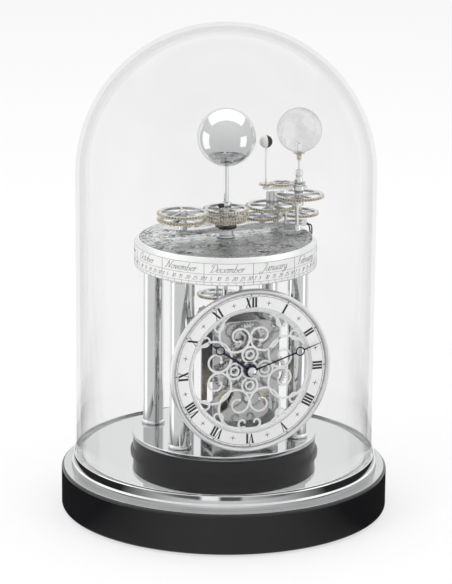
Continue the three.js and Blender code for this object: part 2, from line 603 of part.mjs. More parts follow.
// Plates of the going train
const PLATE_FOOT = -(BEZEL_RADIUS + BEZEL_CLEAR);
const HALF_PLATE = PLATE_WIDTH / 2;
const MOTION_MODULE = 2 * MOTION_DISTANCE / (MOTION_PINION_TEETH + HOUR_WHEEL_TEETH);
const CANNON_MODULE = 2 * MOTION_DISTANCE / (CANNON_TEETH + MINUTE_WHEEL_TEETH);
const BARREL_MODULE = 2 * BARREL_DISTANCE / (BARREL_TEETH + CENTRE_PINION_TEETH);
const TRANSFER_Y = 2 * pitchRadius(HOUR_WHEEL_TEETH, MOTION_MODULE);
const THIRD_DISTANCE = pitchRadius(CENTRE_WHEEL_TEETH + SMALL_PINION_TEETH, TRAIN_MODULE);
const ESCAPE_DISTANCE = pitchRadius(THIRD_WHEEL_TEETH + SMALL_PINION_TEETH, TRAIN_MODULE);
const [THIRD_X, THIRD_Y] = polar(THIRD_DISTANCE, rad(THIRD_ANGLE));
const [ESCAPE_X, ESCAPE_Y] = [
  THIRD_X + ESCAPE_DISTANCE * Math.cos(rad(ESCAPE_ANGLE)),
  THIRD_Y + ESCAPE_DISTANCE * Math.sin(rad(ESCAPE_ANGLE)),
];
const [MOTION_X, MOTION_Y] = polar(MOTION_DISTANCE, rad(MOTION_ANGLE));
const [BALANCE_X, BALANCE_Y] = [-12.5, 13.5];
const arborPlaces = [
  [0, 0, CENTRE_ARBOR], [0, -BARREL_DISTANCE, ARBOR_RADIUS * 2], [THIRD_X, THIRD_Y, ARBOR_RADIUS],
  [ESCAPE_X, ESCAPE_Y, ARBOR_RADIUS], [0, TRANSFER_Y, ARBOR_RADIUS], [BALANCE_X, BALANCE_Y, ARBOR_RADIUS],
];
const PILLAR_SIDE = HALF_PLATE - PILLAR_INSET;
const pillarPlaces = [
  [PILLAR_SIDE, PLATE_TOP - PILLAR_INSET], [-PILLAR_SIDE, PLATE_TOP - PILLAR_INSET],
  [PILLAR_SIDE, PLATE_FOOT + PLATE_CORNER], [-PILLAR_SIDE, PLATE_FOOT + PLATE_CORNER],
];
function trainPlate(bottom, holes) {
  const outline = new THREE.Shape([
    [-HALF_PLATE, PLATE_FOOT], [-HALF_PLATE + PLATE_LEG, PLATE_FOOT],
    [-HALF_PLATE + PLATE_LEG + PLATE_ARCH / 2, PLATE_FOOT + PLATE_ARCH],
    [HALF_PLATE - PLATE_LEG - PLATE_ARCH / 2, PLATE_FOOT + PLATE_ARCH],
    [HALF_PLATE - PLATE_LEG, PLATE_FOOT], [HALF_PLATE, PLATE_FOOT],
    [HALF_PLATE, PLATE_TOP - PLATE_CORNER], [HALF_PLATE - PLATE_CORNER, PLATE_TOP],
    [-HALF_PLATE + PLATE_CORNER, PLATE_TOP], [-HALF_PLATE, PLATE_TOP - PLATE_CORNER],
  ].map(([x, y]) => new THREE.Vector2(x, y)));
  const bores = holes.map(([x, y, radius]) =>
    rod(radius + GAP, bottom - 1, bottom + PLATE_THICKNESS + 1, 10, x, y));
  return cut(plate(outline, bottom, PLATE_THICKNESS), ...bores);
}
const pierced = (bottom) => [
  [[-14, -46], [14, -46], [9, -40], [-9, -40]],
  [[9, -17], [21, -17], [21, -34], [14, -30]],
  [[-9, -17], [-21, -17], [-21, -34], [-14, -30]],
].map((corners) => plate(new THREE.Shape(corners.map(([x, y]) => new THREE.Vector2(x, y))), bottom - 1,
  PLATE_THICKNESS + 2));
const motionPost = rod(
  ARBOR_RADIUS, FRONT_PLATE_FRONT - 0.1, FRONT_PLATE_FRONT + 4.2, 10, MOTION_X, MOTION_Y);

// The bezel stands on four feet: two on the plate's lower corners, two on horns above
const HORN_WIDTH = 2.5;
const FOOT_CIRCLE = BEZEL_RADIUS - BEZEL_WIDTH + 0.3;
const dialFeet = [-113, -67, 53, 127].map((angle) => polar(FOOT_CIRCLE, rad(angle)));
const horn = ([x, y]) => {
  const side = Math.sign(x);
  return plate(new THREE.Shape([
    [x - side * HORN_WIDTH, y + HORN_WIDTH], [x + side * HORN_WIDTH, y - HORN_WIDTH],
    [side * HALF_PLATE, PLATE_TOP - 8], [side * (HALF_PLATE - 8), PLATE_TOP - 2],
  ].map(([px, py]) => new THREE.Vector2(px, py))), FRONT_PLATE, PLATE_THICKNESS);
};
add(train, "front_plate", join(
  cut(trainPlate(FRONT_PLATE, arborPlaces), ...pierced(FRONT_PLATE)),
  motionPost, horn(dialFeet[2]), horn(dialFeet[3]),
  ...dialFeet.map(([x, y]) => rod(DIAL_FOOT_RADIUS, FRONT_PLATE + 0.5, BEZEL_BACK, 8, x, y)),
), STEEL);
add(train, "back_plate", join(
  cut(trainPlate(BACK_PLATE, arborPlaces), ...pierced(BACK_PLATE)),
  ...pillarPlaces.map(([x, y]) => rod(PILLAR_RADIUS, BACK_PLATE_FRONT - 0.1, FRONT_PLATE, 10, x, y)),
), STEEL);

// Going train: barrel, centre, third and escape
const ARBOR_BACK = BACK_PLATE + GAP;
const ARBOR_FRONT = FRONT_PLATE_FRONT - GAP;
const GREAT_LEVEL = 38.6;
const CENTRE_LEVEL = 24;
const THIRD_LEVEL = 42.4;
const ESCAPE_LEVEL = 30;
const DRUM_LEVEL = GREAT_LEVEL - BARREL_DRUM;
const centrePhase = 0;
const barrelPhase = meshPhase(centrePhase, CENTRE_PINION_TEETH, BARREL_TEETH, -RIGHT_ANGLE);
add(train, "barrel", join(
  pinion(BARREL_TEETH, BARREL_MODULE, GREAT_LEVEL, GREAT_LEVEL + WHEEL_THICKNESS),
  rod(BARREL_RADIUS, DRUM_LEVEL, GREAT_LEVEL + 0.1, 24),
  rod(2 * ARBOR_RADIUS, ARBOR_BACK, ARBOR_FRONT, 10),
), BRASS, barrelPhase, 0, -BARREL_DISTANCE);

const CANNON_LEVEL = FRONT_PLATE_FRONT + 0.8;
const HOUR_LEVEL = CANNON_LEVEL + 2.2;
const HOUR_HAND_LEVEL = CHAPTER_FRONT + 0.4;
const MINUTE_HAND_LEVEL = HOUR_HAND_LEVEL + HAND_THICKNESS + 0.6;
const CAP_TOP = MINUTE_HAND_LEVEL + HAND_THICKNESS + 2.6;
add(train, "centre_wheel", join(
  wheel({
    teeth: CENTRE_WHEEL_TEETH, module: TRAIN_MODULE, bottom: CENTRE_LEVEL, bore: CENTRE_ARBOR / 2, sleeve: 2,
    spokes: 0,
  }),
  pinion(CENTRE_PINION_TEETH, BARREL_MODULE, GREAT_LEVEL - 0.6, GREAT_LEVEL + WHEEL_THICKNESS + 0.6),
  rod(CENTRE_ARBOR, ARBOR_BACK, MINUTE_HAND_LEVEL + HAND_THICKNESS, 12),
  pinion(CANNON_TEETH, CANNON_MODULE, CANNON_LEVEL, CANNON_LEVEL + 1.6),
), WHEEL, centrePhase);
const thirdPhase = meshPhase(centrePhase, CENTRE_WHEEL_TEETH, SMALL_PINION_TEETH, rad(THIRD_ANGLE));
add(train, "third_wheel", join(
  wheel({
    teeth: THIRD_WHEEL_TEETH, module: TRAIN_MODULE, bottom: THIRD_LEVEL, bore: ARBOR_RADIUS / 2, sleeve: 2,
    spokes: 0,
  }),
  pinion(SMALL_PINION_TEETH, TRAIN_MODULE, CENTRE_LEVEL - 0.6, CENTRE_LEVEL + WHEEL_THICKNESS + 0.6),
  rod(ARBOR_RADIUS, ARBOR_BACK, ARBOR_FRONT, 10),
), WHEEL, thirdPhase, THIRD_X, THIRD_Y);
const escapePhase = meshPhase(thirdPhase, THIRD_WHEEL_TEETH, SMALL_PINION_TEETH, rad(ESCAPE_ANGLE));
const escapeOutline = [];
for (let i = 0; i < ESCAPE_TEETH; i++) {
  const angle = i * TURN / ESCAPE_TEETH;
  escapeOutline.push(new THREE.Vector2(...polar(ESCAPE_RADIUS, angle)));
  escapeOutline.push(new THREE.Vector2(...polar(ESCAPE_RADIUS - 1.6, angle + 0.35 * TURN / ESCAPE_TEETH)));
  escapeOutline.push(new THREE.Vector2(...polar(ESCAPE_RADIUS - 1.4, angle + 0.8 * TURN / ESCAPE_TEETH)));
}
add(train, "escape_wheel", join(
  plate(new THREE.Shape(escapeOutline), ESCAPE_LEVEL, 1),
  pinion(SMALL_PINION_TEETH, TRAIN_MODULE, THIRD_LEVEL - 0.6, THIRD_LEVEL + WHEEL_THICKNESS + 0.6),
  rod(ARBOR_RADIUS, ARBOR_BACK, ARBOR_FRONT, 10),
), BRASS, escapePhase, ESCAPE_X, ESCAPE_Y);
add(train, "balance_wheel", join(
  ring(BALANCE_RADIUS - 1.4, BALANCE_RADIUS, ESCAPE_LEVEL + 2.2, ESCAPE_LEVEL + 4, 20),
  block(-BALANCE_RADIUS + 0.8, BALANCE_RADIUS - 0.8, -0.8, 0.8, ESCAPE_LEVEL + 2.4, ESCAPE_LEVEL + 3.8),
  rod(ARBOR_RADIUS, ARBOR_BACK, ARBOR_FRONT, 10),
), BRASS, rad(20), BALANCE_X, BALANCE_Y);

// Motion work behind the dial
const minutePhase = meshPhase(centrePhase, CANNON_TEETH, MINUTE_WHEEL_TEETH, rad(MOTION_ANGLE));
add(train, "minute_wheel", join(
  pinion(MINUTE_WHEEL_TEETH, CANNON_MODULE, CANNON_LEVEL, CANNON_LEVEL + 1.6, ARBOR_RADIUS + GAP),
  pinion(MOTION_PINION_TEETH, MOTION_MODULE, CANNON_LEVEL + 1.5, HOUR_LEVEL + 1.6, ARBOR_RADIUS + GAP),
), WHEEL, minutePhase, MOTION_X, MOTION_Y);
const hourPhase = meshPhase(minutePhase, MOTION_PINION_TEETH, HOUR_WHEEL_TEETH, rad(MOTION_ANGLE) + Math.PI);
const HOUR_BORE = CENTRE_ARBOR + GAP;
const HOUR_PIPE = HOUR_BORE + 0.9;
add(train, "hour_wheel", join(
  pinion(HOUR_WHEEL_TEETH, MOTION_MODULE, HOUR_LEVEL, HOUR_LEVEL + 1.4, HOUR_BORE),
  ring(HOUR_BORE, HOUR_PIPE, HOUR_LEVEL, HOUR_HAND_LEVEL + HAND_THICKNESS, BORE_SIDES),
), WHEEL, hourPhase);
const transferPhase = meshPhase(hourPhase, HOUR_WHEEL_TEETH, HOUR_WHEEL_TEETH, RIGHT_ANGLE);
// The transfer pinion has a tooth hanging straight down into a gap of the crown wheel
const transferBack = CROWN_RADIUS - CROWN_FACE / 2;
const hangingTooth = -RIGHT_ANGLE - transferPhase;
add(train, "transfer_wheel", join(
  pinion(HOUR_WHEEL_TEETH, MOTION_MODULE, HOUR_LEVEL, HOUR_LEVEL + 1.4),
  rod(ARBOR_RADIUS, transferBack, HOUR_LEVEL + 0.1, 10),
  pinion(TRANSFER_PINION_TEETH, CROWN_MODULE, transferBack, transferBack + CROWN_FACE)
    .rotate([0, 0, hangingTooth * 180 / Math.PI]),
), WHEEL, transferPhase, 0, TRANSFER_Y);

// Hands: a thin blade with a ring near its end
function hand(length, eye, bottom, bossRadius, arbor) {
  const top = bottom + HAND_THICKNESS;
  const blade = new THREE.Shape([
    [-0.55, 0], [-0.45, eye], [-0.3, eye + EYE_RADIUS], [-0.1, length], [0.1, length],
    [0.3, eye + EYE_RADIUS], [0.45, eye], [0.55, 0],
  ].map(([x, y]) => new THREE.Vector2(x, y)));
  return cut(
    join(plate(blade, bottom, HAND_THICKNESS), rod(EYE_RADIUS, bottom, top, 12, 0, eye),
      rod(bossRadius, bottom, top, 14)),
    rod(EYE_RADIUS - 0.95, bottom - 1, top + 1, 12, 0, eye),
    rod(arbor + GAP, bottom - 1, top + 1, 10),
  );
}
const hourTurn = -HOUR_SHOWN * TURN / 12;
const minuteTurn = -(HOUR_SHOWN % 1) * TURN;
const hourBlade = hand(HOUR_HAND_LENGTH, HOUR_EYE, HOUR_HAND_LEVEL, CAP_RADIUS + 0.8, HOUR_PIPE);
const minuteBlade = hand(MINUTE_HAND_LENGTH, MINUTE_EYE, MINUTE_HAND_LEVEL, CAP_RADIUS, CENTRE_ARBOR);
add(train, "hour_hand", hourBlade, BLUED, hourTurn);
add(train, "minute_hand", minuteBlade, BLUED, minuteTurn);
add(train, "hand_cap", turned([
  [0, MINUTE_HAND_LEVEL + HAND_THICKNESS + 0.1], [CAP_RADIUS - 0.6, MINUTE_HAND_LEVEL + HAND_THICKNESS + 0.1],
  [CAP_RADIUS - 0.6, CAP_TOP - 1.2], [CAP_RADIUS - 1.8, CAP_TOP - 0.3], [0, CAP_TOP],
], 16), CHROME);

// Tellurion: u along the arm, v across it, heights above the star plate
const carriage = new THREE.Group();
carriage.rotation.z = rad(ARM_ANGLE);
carriage.position.z = STAR_TOP;
object.add(carriage);

const SLEEVE_BORE = DAY_ARBOR + GAP;
const SLEEVE_HUB = SLEEVE_BORE + 1.2;
const EARTH_REACH = 2 * IDLER_REACH;
const ARM_REACH = EARTH_REACH + ARM_END;
const MONTH_REACH = EARTH_REACH - MOON_DISTANCE;
const DAY_MODULE = 2 * LEFT_REACH / (DAY_TEETH + LEFT_UPPER_TEETH);
const SLEEVE_MODULE = 2 * LEFT_REACH / (LEFT_LOWER_TEETH + SLEEVE_TEETH);
const IDLER_MODULE = IDLER_REACH / IDLER_TEETH;
const MOON_MODULE = 2 * MOON_DISTANCE / (MOON_WHEEL_TEETH + MOON_PINION_TEETH);
const PHASE_MODULE = 2 * PHASE_REACH / (PHASE_TEETH + PHASE_IDLER_TEETH);
const ARM_TOP = ARM_BOTTOM + ARM_THICKNESS;
const LOWER_POST_REACH = (IDLER_REACH + EARTH_REACH) / 2;

const armOutline = new THREE.Shape([
  [-LEFT_REACH - 4, -3], [0, -ARM_WIDTH / 2], [LOWER_POST_REACH - 4, -ARM_WIDTH / 2],
  [LOWER_POST_REACH - 2, -LOWER_POST_SIDE - 2], [UPPER_POST_REACH - 3, -UPPER_POST_SIDE - 2],
  [UPPER_POST_REACH + 3, -UPPER_POST_SIDE - 2], [EARTH_REACH, -6], [ARM_REACH, -4],
  [ARM_REACH, 4], [EARTH_REACH, 6], [UPPER_POST_REACH + 3, UPPER_POST_SIDE + 2],
  [UPPER_POST_REACH - 3, UPPER_POST_SIDE + 2], [LOWER_POST_REACH - 2, LOWER_POST_SIDE + 2],
  [LOWER_POST_REACH - 4, ARM_WIDTH / 2], [0, ARM_WIDTH / 2], [-LEFT_REACH - 4, 3],
].map(([x, y]) => new THREE.Vector2(x, y)));
const HUB_BORE = TUBE_RADIUS + GAP;
add(carriage, "carriage_arm", cut(
  join(
    plate(armOutline, ARM_BOTTOM, ARM_THICKNESS),
    rod(HUB_RADIUS, GAP, HUB_HEIGHT - 1.4, 20), rod(HUB_FLANGE, HUB_HEIGHT - 1.5, HUB_HEIGHT + 0.3, 20),
    rod(LEFT_POST_RADIUS, ARM_BOTTOM - 1.5, LEVEL_DAY + 2.6, 12, -LEFT_REACH, 0),
    rod(POST_RADIUS, ARM_BOTTOM - 1.2, LEVEL_IDLER + 3.6, 10, IDLER_REACH, 0),
  ),
  rod(HUB_BORE, -1, HUB_HEIGHT + 1, 16),
  rod(EARTH_ARBOR + GAP, ARM_BOTTOM + 1, ARM_TOP + 1, 10, EARTH_REACH, 0),
), CHROME);

// Each bridge stands on two posts riveted into it
const posts = (reach, side, top) => [-side, side].map((v) => rod(POST_RADIUS, ARM_TOP, top, 10, reach, v));
const wide = BRIDGE_WIDTH / 2;
const lowerOutline = new THREE.Shape([
  [MONTH_REACH - wide, -wide], [MONTH_REACH + wide, -wide], [LOWER_POST_REACH - 2, -LOWER_POST_SIDE - 2],
  [LOWER_POST_REACH + 2, -LOWER_POST_SIDE - 2], [LOWER_POST_REACH + 2, LOWER_POST_SIDE + 2],
  [LOWER_POST_REACH - 2, LOWER_POST_SIDE + 2], [MONTH_REACH + wide, wide], [MONTH_REACH - wide, wide],
].map(([x, y]) => new THREE.Vector2(x, y)));
add(carriage, "lower_bridge", cut(
  join(
    plate(lowerOutline, LOWER_BRIDGE, BRIDGE_THICKNESS),
    ...posts(LOWER_POST_REACH, LOWER_POST_SIDE, LOWER_BRIDGE + 0.1),
  ),
  rod(ARBOR_RADIUS + GAP, LOWER_BRIDGE - 1, LOWER_BRIDGE + 3, 10, MONTH_REACH, 0),
), CHROME);

// The upper bridge carries the fixed pipe, its phase wheel and the nut
const FIXED_BORE = EARTH_ARBOR + GAP;
const FIXED_RADIUS = FIXED_BORE + FIXED_PIPE_WALL;
const PHASE_LEVEL = LEVEL_MOON_ARM + 2.9;
const PHASE_THICKNESS = 1.5;
const upperOutline = new THREE.Shape([
  [UPPER_POST_REACH - 2, -UPPER_POST_SIDE - 2], [UPPER_POST_REACH + 2, -UPPER_POST_SIDE - 2],
  [EARTH_REACH + 3.5, -2.5], [EARTH_REACH + 3.5, 2.5], [UPPER_POST_REACH + 2, UPPER_POST_SIDE + 2],
  [UPPER_POST_REACH - 2, UPPER_POST_SIDE + 2], [EARTH_REACH - 4.5, 2.5], [EARTH_REACH - 4.5, -2.5],
].map(([x, y]) => new THREE.Vector2(x, y)));
add(carriage, "upper_bridge", cut(
  join(
    plate(upperOutline, UPPER_BRIDGE, BRIDGE_THICKNESS),
    ...posts(UPPER_POST_REACH, UPPER_POST_SIDE, UPPER_BRIDGE + 0.1),
    rod(FIXED_RADIUS, UPPER_BRIDGE, NUT_TOP - 0.1, 12, EARTH_REACH, 0),
    plate(new THREE.Shape(toothOutline(PHASE_TEETH, PHASE_MODULE)), PHASE_LEVEL, PHASE_THICKNESS)
      .rotate([0, 0, MOON_ANGLE]).translate([EARTH_REACH, 0, 0]),
    rod(NUT_RADIUS, PHASE_LEVEL + PHASE_THICKNESS - 0.1, NUT_TOP, 12, EARTH_REACH, 0),
  ),
  rod(FIXED_BORE, UPPER_BRIDGE - 1, NUT_TOP + 1, 12, EARTH_REACH, 0),
), CHROME);

// Date pointer: two blued wires from the arm that meet beyond the calendar edge
const wire = (side) => {
  const path = new THREE.CatmullRomCurve3([
    [ARM_REACH - 1.5, side * 2.6, ARM_BOTTOM - 0.6], [ARM_REACH + 2.6, side * 2.9, ARM_BOTTOM - 0.8],
    [CALENDAR_RADIUS + 2, side * 1.9, ARM_BOTTOM - 5],
    [CALENDAR_RADIUS + 2.2, 0.2 * side, -CALENDAR_CHAMFER_RISE - 8],
  ].map(([x, y, z]) => new THREE.Vector3(x, y, z)));
  const section = new THREE.Shape(circleShape(0.55, 6));
  return solid(new THREE.ExtrudeGeometry(section, { steps: 8, extrudePath: path, bevelEnabled: false }));
};
add(carriage, "date_pointer", join(
  wire(1), wire(-1), block(ARM_REACH - 3.2, ARM_REACH - 0.8, -3.4, 3.4, ARM_BOTTOM - 1.4, ARM_BOTTOM - 0.05),
), BLUED);

// Day wheel on the day arbor, with the collar and thumb screw that hold the sun's stem
const LEFT = Math.PI;
const dayPhase = 0;
const leftUpperPhase = meshPhase(dayPhase, DAY_TEETH, LEFT_UPPER_TEETH, LEFT);
const leftLowerPhase = 0;
const sleeveUpperPhase = meshPhase(leftLowerPhase, LEFT_LOWER_TEETH, SLEEVE_TEETH, 0);
const sleeveLowerPhase = 0;
const idlerPhase = meshPhase(sleeveLowerPhase, IDLER_TEETH, IDLER_TEETH, 0);
const earthPhase = meshPhase(idlerPhase, IDLER_TEETH, IDLER_TEETH, 0);
const monthPhase = meshPhase(0, MOON_PINION_TEETH, MOON_WHEEL_TEETH, Math.PI);
const moonPhase = meshPhase(0, MOON_PINION_TEETH, MOON_WHEEL_TEETH, 0);
const COLLAR_RADIUS = 4;
const THUMB_RADIUS = 1.7;
const THUMB_ANGLE = 208;
const collar = cut(
  join(
    wheel({
      teeth: DAY_TEETH, module: DAY_MODULE, bottom: LEVEL_DAY, bore: SLEEVE_BORE, sleeve: COLLAR_RADIUS,
    }),
    ring(SLEEVE_BORE, COLLAR_RADIUS, LEVEL_DAY - 1, COLLAR_TOP - STAR_TOP, 16),
  ),
);
add(carriage, "day_wheel", collar, WHEEL, dayPhase);
add(carriage, "thumb_screw", solid(
  new THREE.CylinderGeometry(THUMB_RADIUS, THUMB_RADIUS, 2.4, 12).rotateZ(RIGHT_ANGLE)
    .translate(COLLAR_RADIUS + GAP + 1.2, 0, LEVEL_DAY + 4.3)), BLACK, rad(THUMB_ANGLE - ARM_ANGLE));

// Left pair, joined on one sleeve that runs on the left post
const LEFT_BORE = LEFT_POST_RADIUS + GAP;
const LEFT_HUB = LEFT_BORE + 0.9;
add(carriage, "left_upper_wheel", join(
  wheel({
    teeth: LEFT_UPPER_TEETH, module: DAY_MODULE, bottom: LEVEL_DAY, bore: LEFT_BORE, sleeve: LEFT_HUB,
  }),
  ring(LEFT_BORE, LEFT_HUB, LEVEL_SLEEVE + WHEEL_THICKNESS, LEVEL_DAY + WHEEL_THICKNESS, BORE_SIDES),
), WHEEL, leftUpperPhase, -LEFT_REACH, 0);
add(carriage, "left_lower_wheel", join(
  wheel({
    teeth: LEFT_LOWER_TEETH, module: SLEEVE_MODULE, bottom: LEVEL_SLEEVE, bore: LEFT_BORE, sleeve: LEFT_HUB,
  }),
  ring(LEFT_BORE, LEFT_HUB, ARM_TOP + END_PLAY, LEVEL_SLEEVE + WHEEL_THICKNESS, BORE_SIDES),
), WHEEL, leftLowerPhase, -LEFT_REACH, 0);

// Sleeve pair on the centre line, above the centre tube
add(carriage, "sleeve_upper_wheel", join(
  wheel({
    teeth: SLEEVE_TEETH, module: SLEEVE_MODULE, bottom: LEVEL_SLEEVE, bore: SLEEVE_BORE, sleeve: SLEEVE_HUB,
  }),
  ring(SLEEVE_BORE, SLEEVE_HUB, LEVEL_IDLER + WHEEL_THICKNESS, LEVEL_DAY - 1 - END_PLAY, BORE_SIDES),
), WHEEL, sleeveUpperPhase);
add(carriage, "sleeve_lower_wheel", join(
  wheel({
    teeth: IDLER_TEETH, module: IDLER_MODULE, bottom: LEVEL_IDLER, bore: SLEEVE_BORE, sleeve: SLEEVE_HUB,
  }),
  ring(SLEEVE_BORE, SLEEVE_HUB, TUBE_ABOVE + END_PLAY, LEVEL_IDLER + WHEEL_THICKNESS, BORE_SIDES),
), WHEEL, sleeveLowerPhase);

// Idler, earth wheel and the two reductions to the moon
const IDLER_BORE = POST_RADIUS + GAP;
const IDLER_HUB = IDLER_BORE + 0.9;
add(carriage, "idler_wheel", join(
  wheel({
    teeth: IDLER_TEETH, module: IDLER_MODULE, bottom: LEVEL_IDLER, bore: IDLER_BORE, sleeve: IDLER_HUB,
  }),
  ring(IDLER_BORE, IDLER_HUB, ARM_TOP + END_PLAY, LEVEL_IDLER + WHEEL_THICKNESS + 0.4, BORE_SIDES),
), WHEEL, idlerPhase, IDLER_REACH, 0);
add(carriage, "earth_wheel", wheel({
  teeth: IDLER_TEETH, module: IDLER_MODULE, bottom: LEVEL_IDLER, bore: EARTH_ARBOR + GAP, sleeve: IDLER_HUB,
}), WHEEL, earthPhase, EARTH_REACH, 0);
const EARTH_PINION_TOP = LEVEL_MONTH + WHEEL_THICKNESS + 0.8;
const CUP_BOTTOM = EARTH_HEIGHT - EARTH_RADIUS - CUP_HEIGHT;
add(carriage, "earth_arbor", join(
  rod(EARTH_ARBOR, ARM_BOTTOM + 1.3, EARTH_HEIGHT - EARTH_RADIUS + 6, 10),
  pinion(MOON_PINION_TEETH, MOON_MODULE, LEVEL_MONTH - 0.8, EARTH_PINION_TOP),
  rod(2.6, LEVEL_IDLER + WHEEL_THICKNESS, LEVEL_IDLER + WHEEL_THICKNESS + 2, 10),
  rod(2.3, CUP_BOTTOM, CUP_BOTTOM + CUP_HEIGHT - 0.8, 12),
  rod(CUP_RADIUS, CUP_BOTTOM + CUP_HEIGHT - 1, CUP_BOTTOM + CUP_HEIGHT - GAP, 14),
), BRASS, 0, EARTH_REACH, 0);
add(carriage, "month_wheel", join(
  wheel({
    teeth: MOON_WHEEL_TEETH, module: MOON_MODULE, bottom: LEVEL_MONTH, bore: ARBOR_RADIUS / 2, sleeve: 3.2,
  }),
  rod(ARBOR_RADIUS, LOWER_BRIDGE - 0.6, LEVEL_MOON + 5, 10),
  pinion(MOON_PINION_TEETH, MOON_MODULE, LEVEL_MONTH + 1.7, LEVEL_MOON + 5.4),
), WHEEL, monthPhase, MONTH_REACH, 0);
const MOON_BORE = FIXED_RADIUS + GAP;
const MOON_HUB = MOON_BORE + MOON_PIPE_WALL;
// The pinion of the month wheel stands at its own angle, so the moon wheel is set to that
add(carriage, "moon_wheel", join(
  wheel({
    teeth: MOON_WHEEL_TEETH, module: MOON_MODULE, bottom: LEVEL_MOON, bore: MOON_BORE, sleeve: MOON_HUB,
  }),
  ring(MOON_BORE, MOON_HUB, UPPER_BRIDGE + BRIDGE_THICKNESS + END_PLAY, PHASE_LEVEL - END_PLAY, BORE_SIDES),
), WHEEL, moonPhase + monthPhase * -MOON_PINION_TEETH / MOON_WHEEL_TEETH, EARTH_REACH, 0);

// Moon arm, clamped on the moon wheel's pipe, with the wheels that keep the moon's face to the sun
const moonCarrier = new THREE.Group();
moonCarrier.position.x = EARTH_REACH;
moonCarrier.rotation.z = rad(MOON_ANGLE);
carriage.add(moonCarrier);
const MOON_REACH = 2 * PHASE_REACH;
const MOON_ARM_THICKNESS = 1.6;
const moonArmOutline = new THREE.Shape([
  [-6, -2.2], [PHASE_REACH - 2, -2], [MOON_REACH + 2.4, -2.2], [MOON_REACH + 2.4, 2.2],
  [PHASE_REACH - 2, 2], [-6, 2.2],
].map(([x, y]) => new THREE.Vector2(x, y)));
add(moonCarrier, "moon_arm", cut(
  join(
    plate(moonArmOutline, LEVEL_MOON_ARM, MOON_ARM_THICKNESS),
    rod(MOON_HUB + 1.5, LEVEL_MOON_ARM - 1.4, LEVEL_MOON_ARM + MOON_ARM_THICKNESS, 14),
    rod(ARBOR_RADIUS, LEVEL_MOON_ARM + 1, PHASE_LEVEL + PHASE_THICKNESS + 1.4, 10, PHASE_REACH, 0),
  ),
  rod(MOON_HUB + GAP, LEVEL_MOON_ARM - 3, LEVEL_MOON_ARM + 4, 12),
  rod(MOON_STEM + GAP, LEVEL_MOON_ARM - 1, LEVEL_MOON_ARM + 3, 8, MOON_REACH, 0),
), CHROME);
const phaseIdlerTurn = meshPhase(0, PHASE_TEETH, PHASE_IDLER_TEETH, 0);
const moonStemTurn = meshPhase(phaseIdlerTurn, PHASE_IDLER_TEETH, PHASE_TEETH, 0);
add(moonCarrier, "phase_idler", wheel({
  teeth: PHASE_IDLER_TEETH, module: PHASE_MODULE, bottom: PHASE_LEVEL, thickness: PHASE_THICKNESS,
  bore: ARBOR_RADIUS + GAP, sleeve: 1.7, rim: 1.3, spokes: 4,
}), WHEEL, phaseIdlerTurn, PHASE_REACH, 0);
add(moonCarrier, "moon_stem", join(
  pinion(PHASE_TEETH, PHASE_MODULE, PHASE_LEVEL, PHASE_LEVEL + PHASE_THICKNESS),
  rod(MOON_STEM, LEVEL_MOON_ARM - 0.5, MOON_HEIGHT - MOON_RADIUS + 2, 8),
  rod(2.2, PHASE_LEVEL - 1, PHASE_LEVEL, 10),
), CHROME, moonStemTurn, MOON_REACH, 0);

// A ball with a socket for its stem
function globe(radius, centre, socketRadius, socketDepth, sides, steps) {
  const start = Math.asin(socketRadius / radius);
  const profile = [[0, centre - radius + socketDepth], [socketRadius, centre - radius + socketDepth]];
  for (let i = 0; i <= steps; i++) {
    const angle = start + (Math.PI - start) * i / steps;
    profile.push([i === steps ? 0 : radius * Math.sin(angle), centre - radius * Math.cos(angle)]);
  }
  return turned(profile, sides);
}
add(object, "sun_globe", globe(SUN_RADIUS, SUN_CENTRE, STEM_RADIUS + GAP, STEM_SOCKET, 22, 11), CHROME);
add(carriage, "earth_globe", globe(EARTH_RADIUS, EARTH_HEIGHT, EARTH_ARBOR + GAP, 6.4, 20, 10), CRYSTAL, 0,
  EARTH_REACH, 0);
add(moonCarrier, "moon_ball", globe(MOON_RADIUS, MOON_HEIGHT, MOON_STEM + GAP, 2.4, 12, 7), MOON_WHITE, 0,
  MOON_REACH, 0);

export default object;
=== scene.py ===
import json
import math
import random

import bmesh
import bpy
from mathutils import Matrix, Vector
from mathutils.geometry import tessellate_polygon

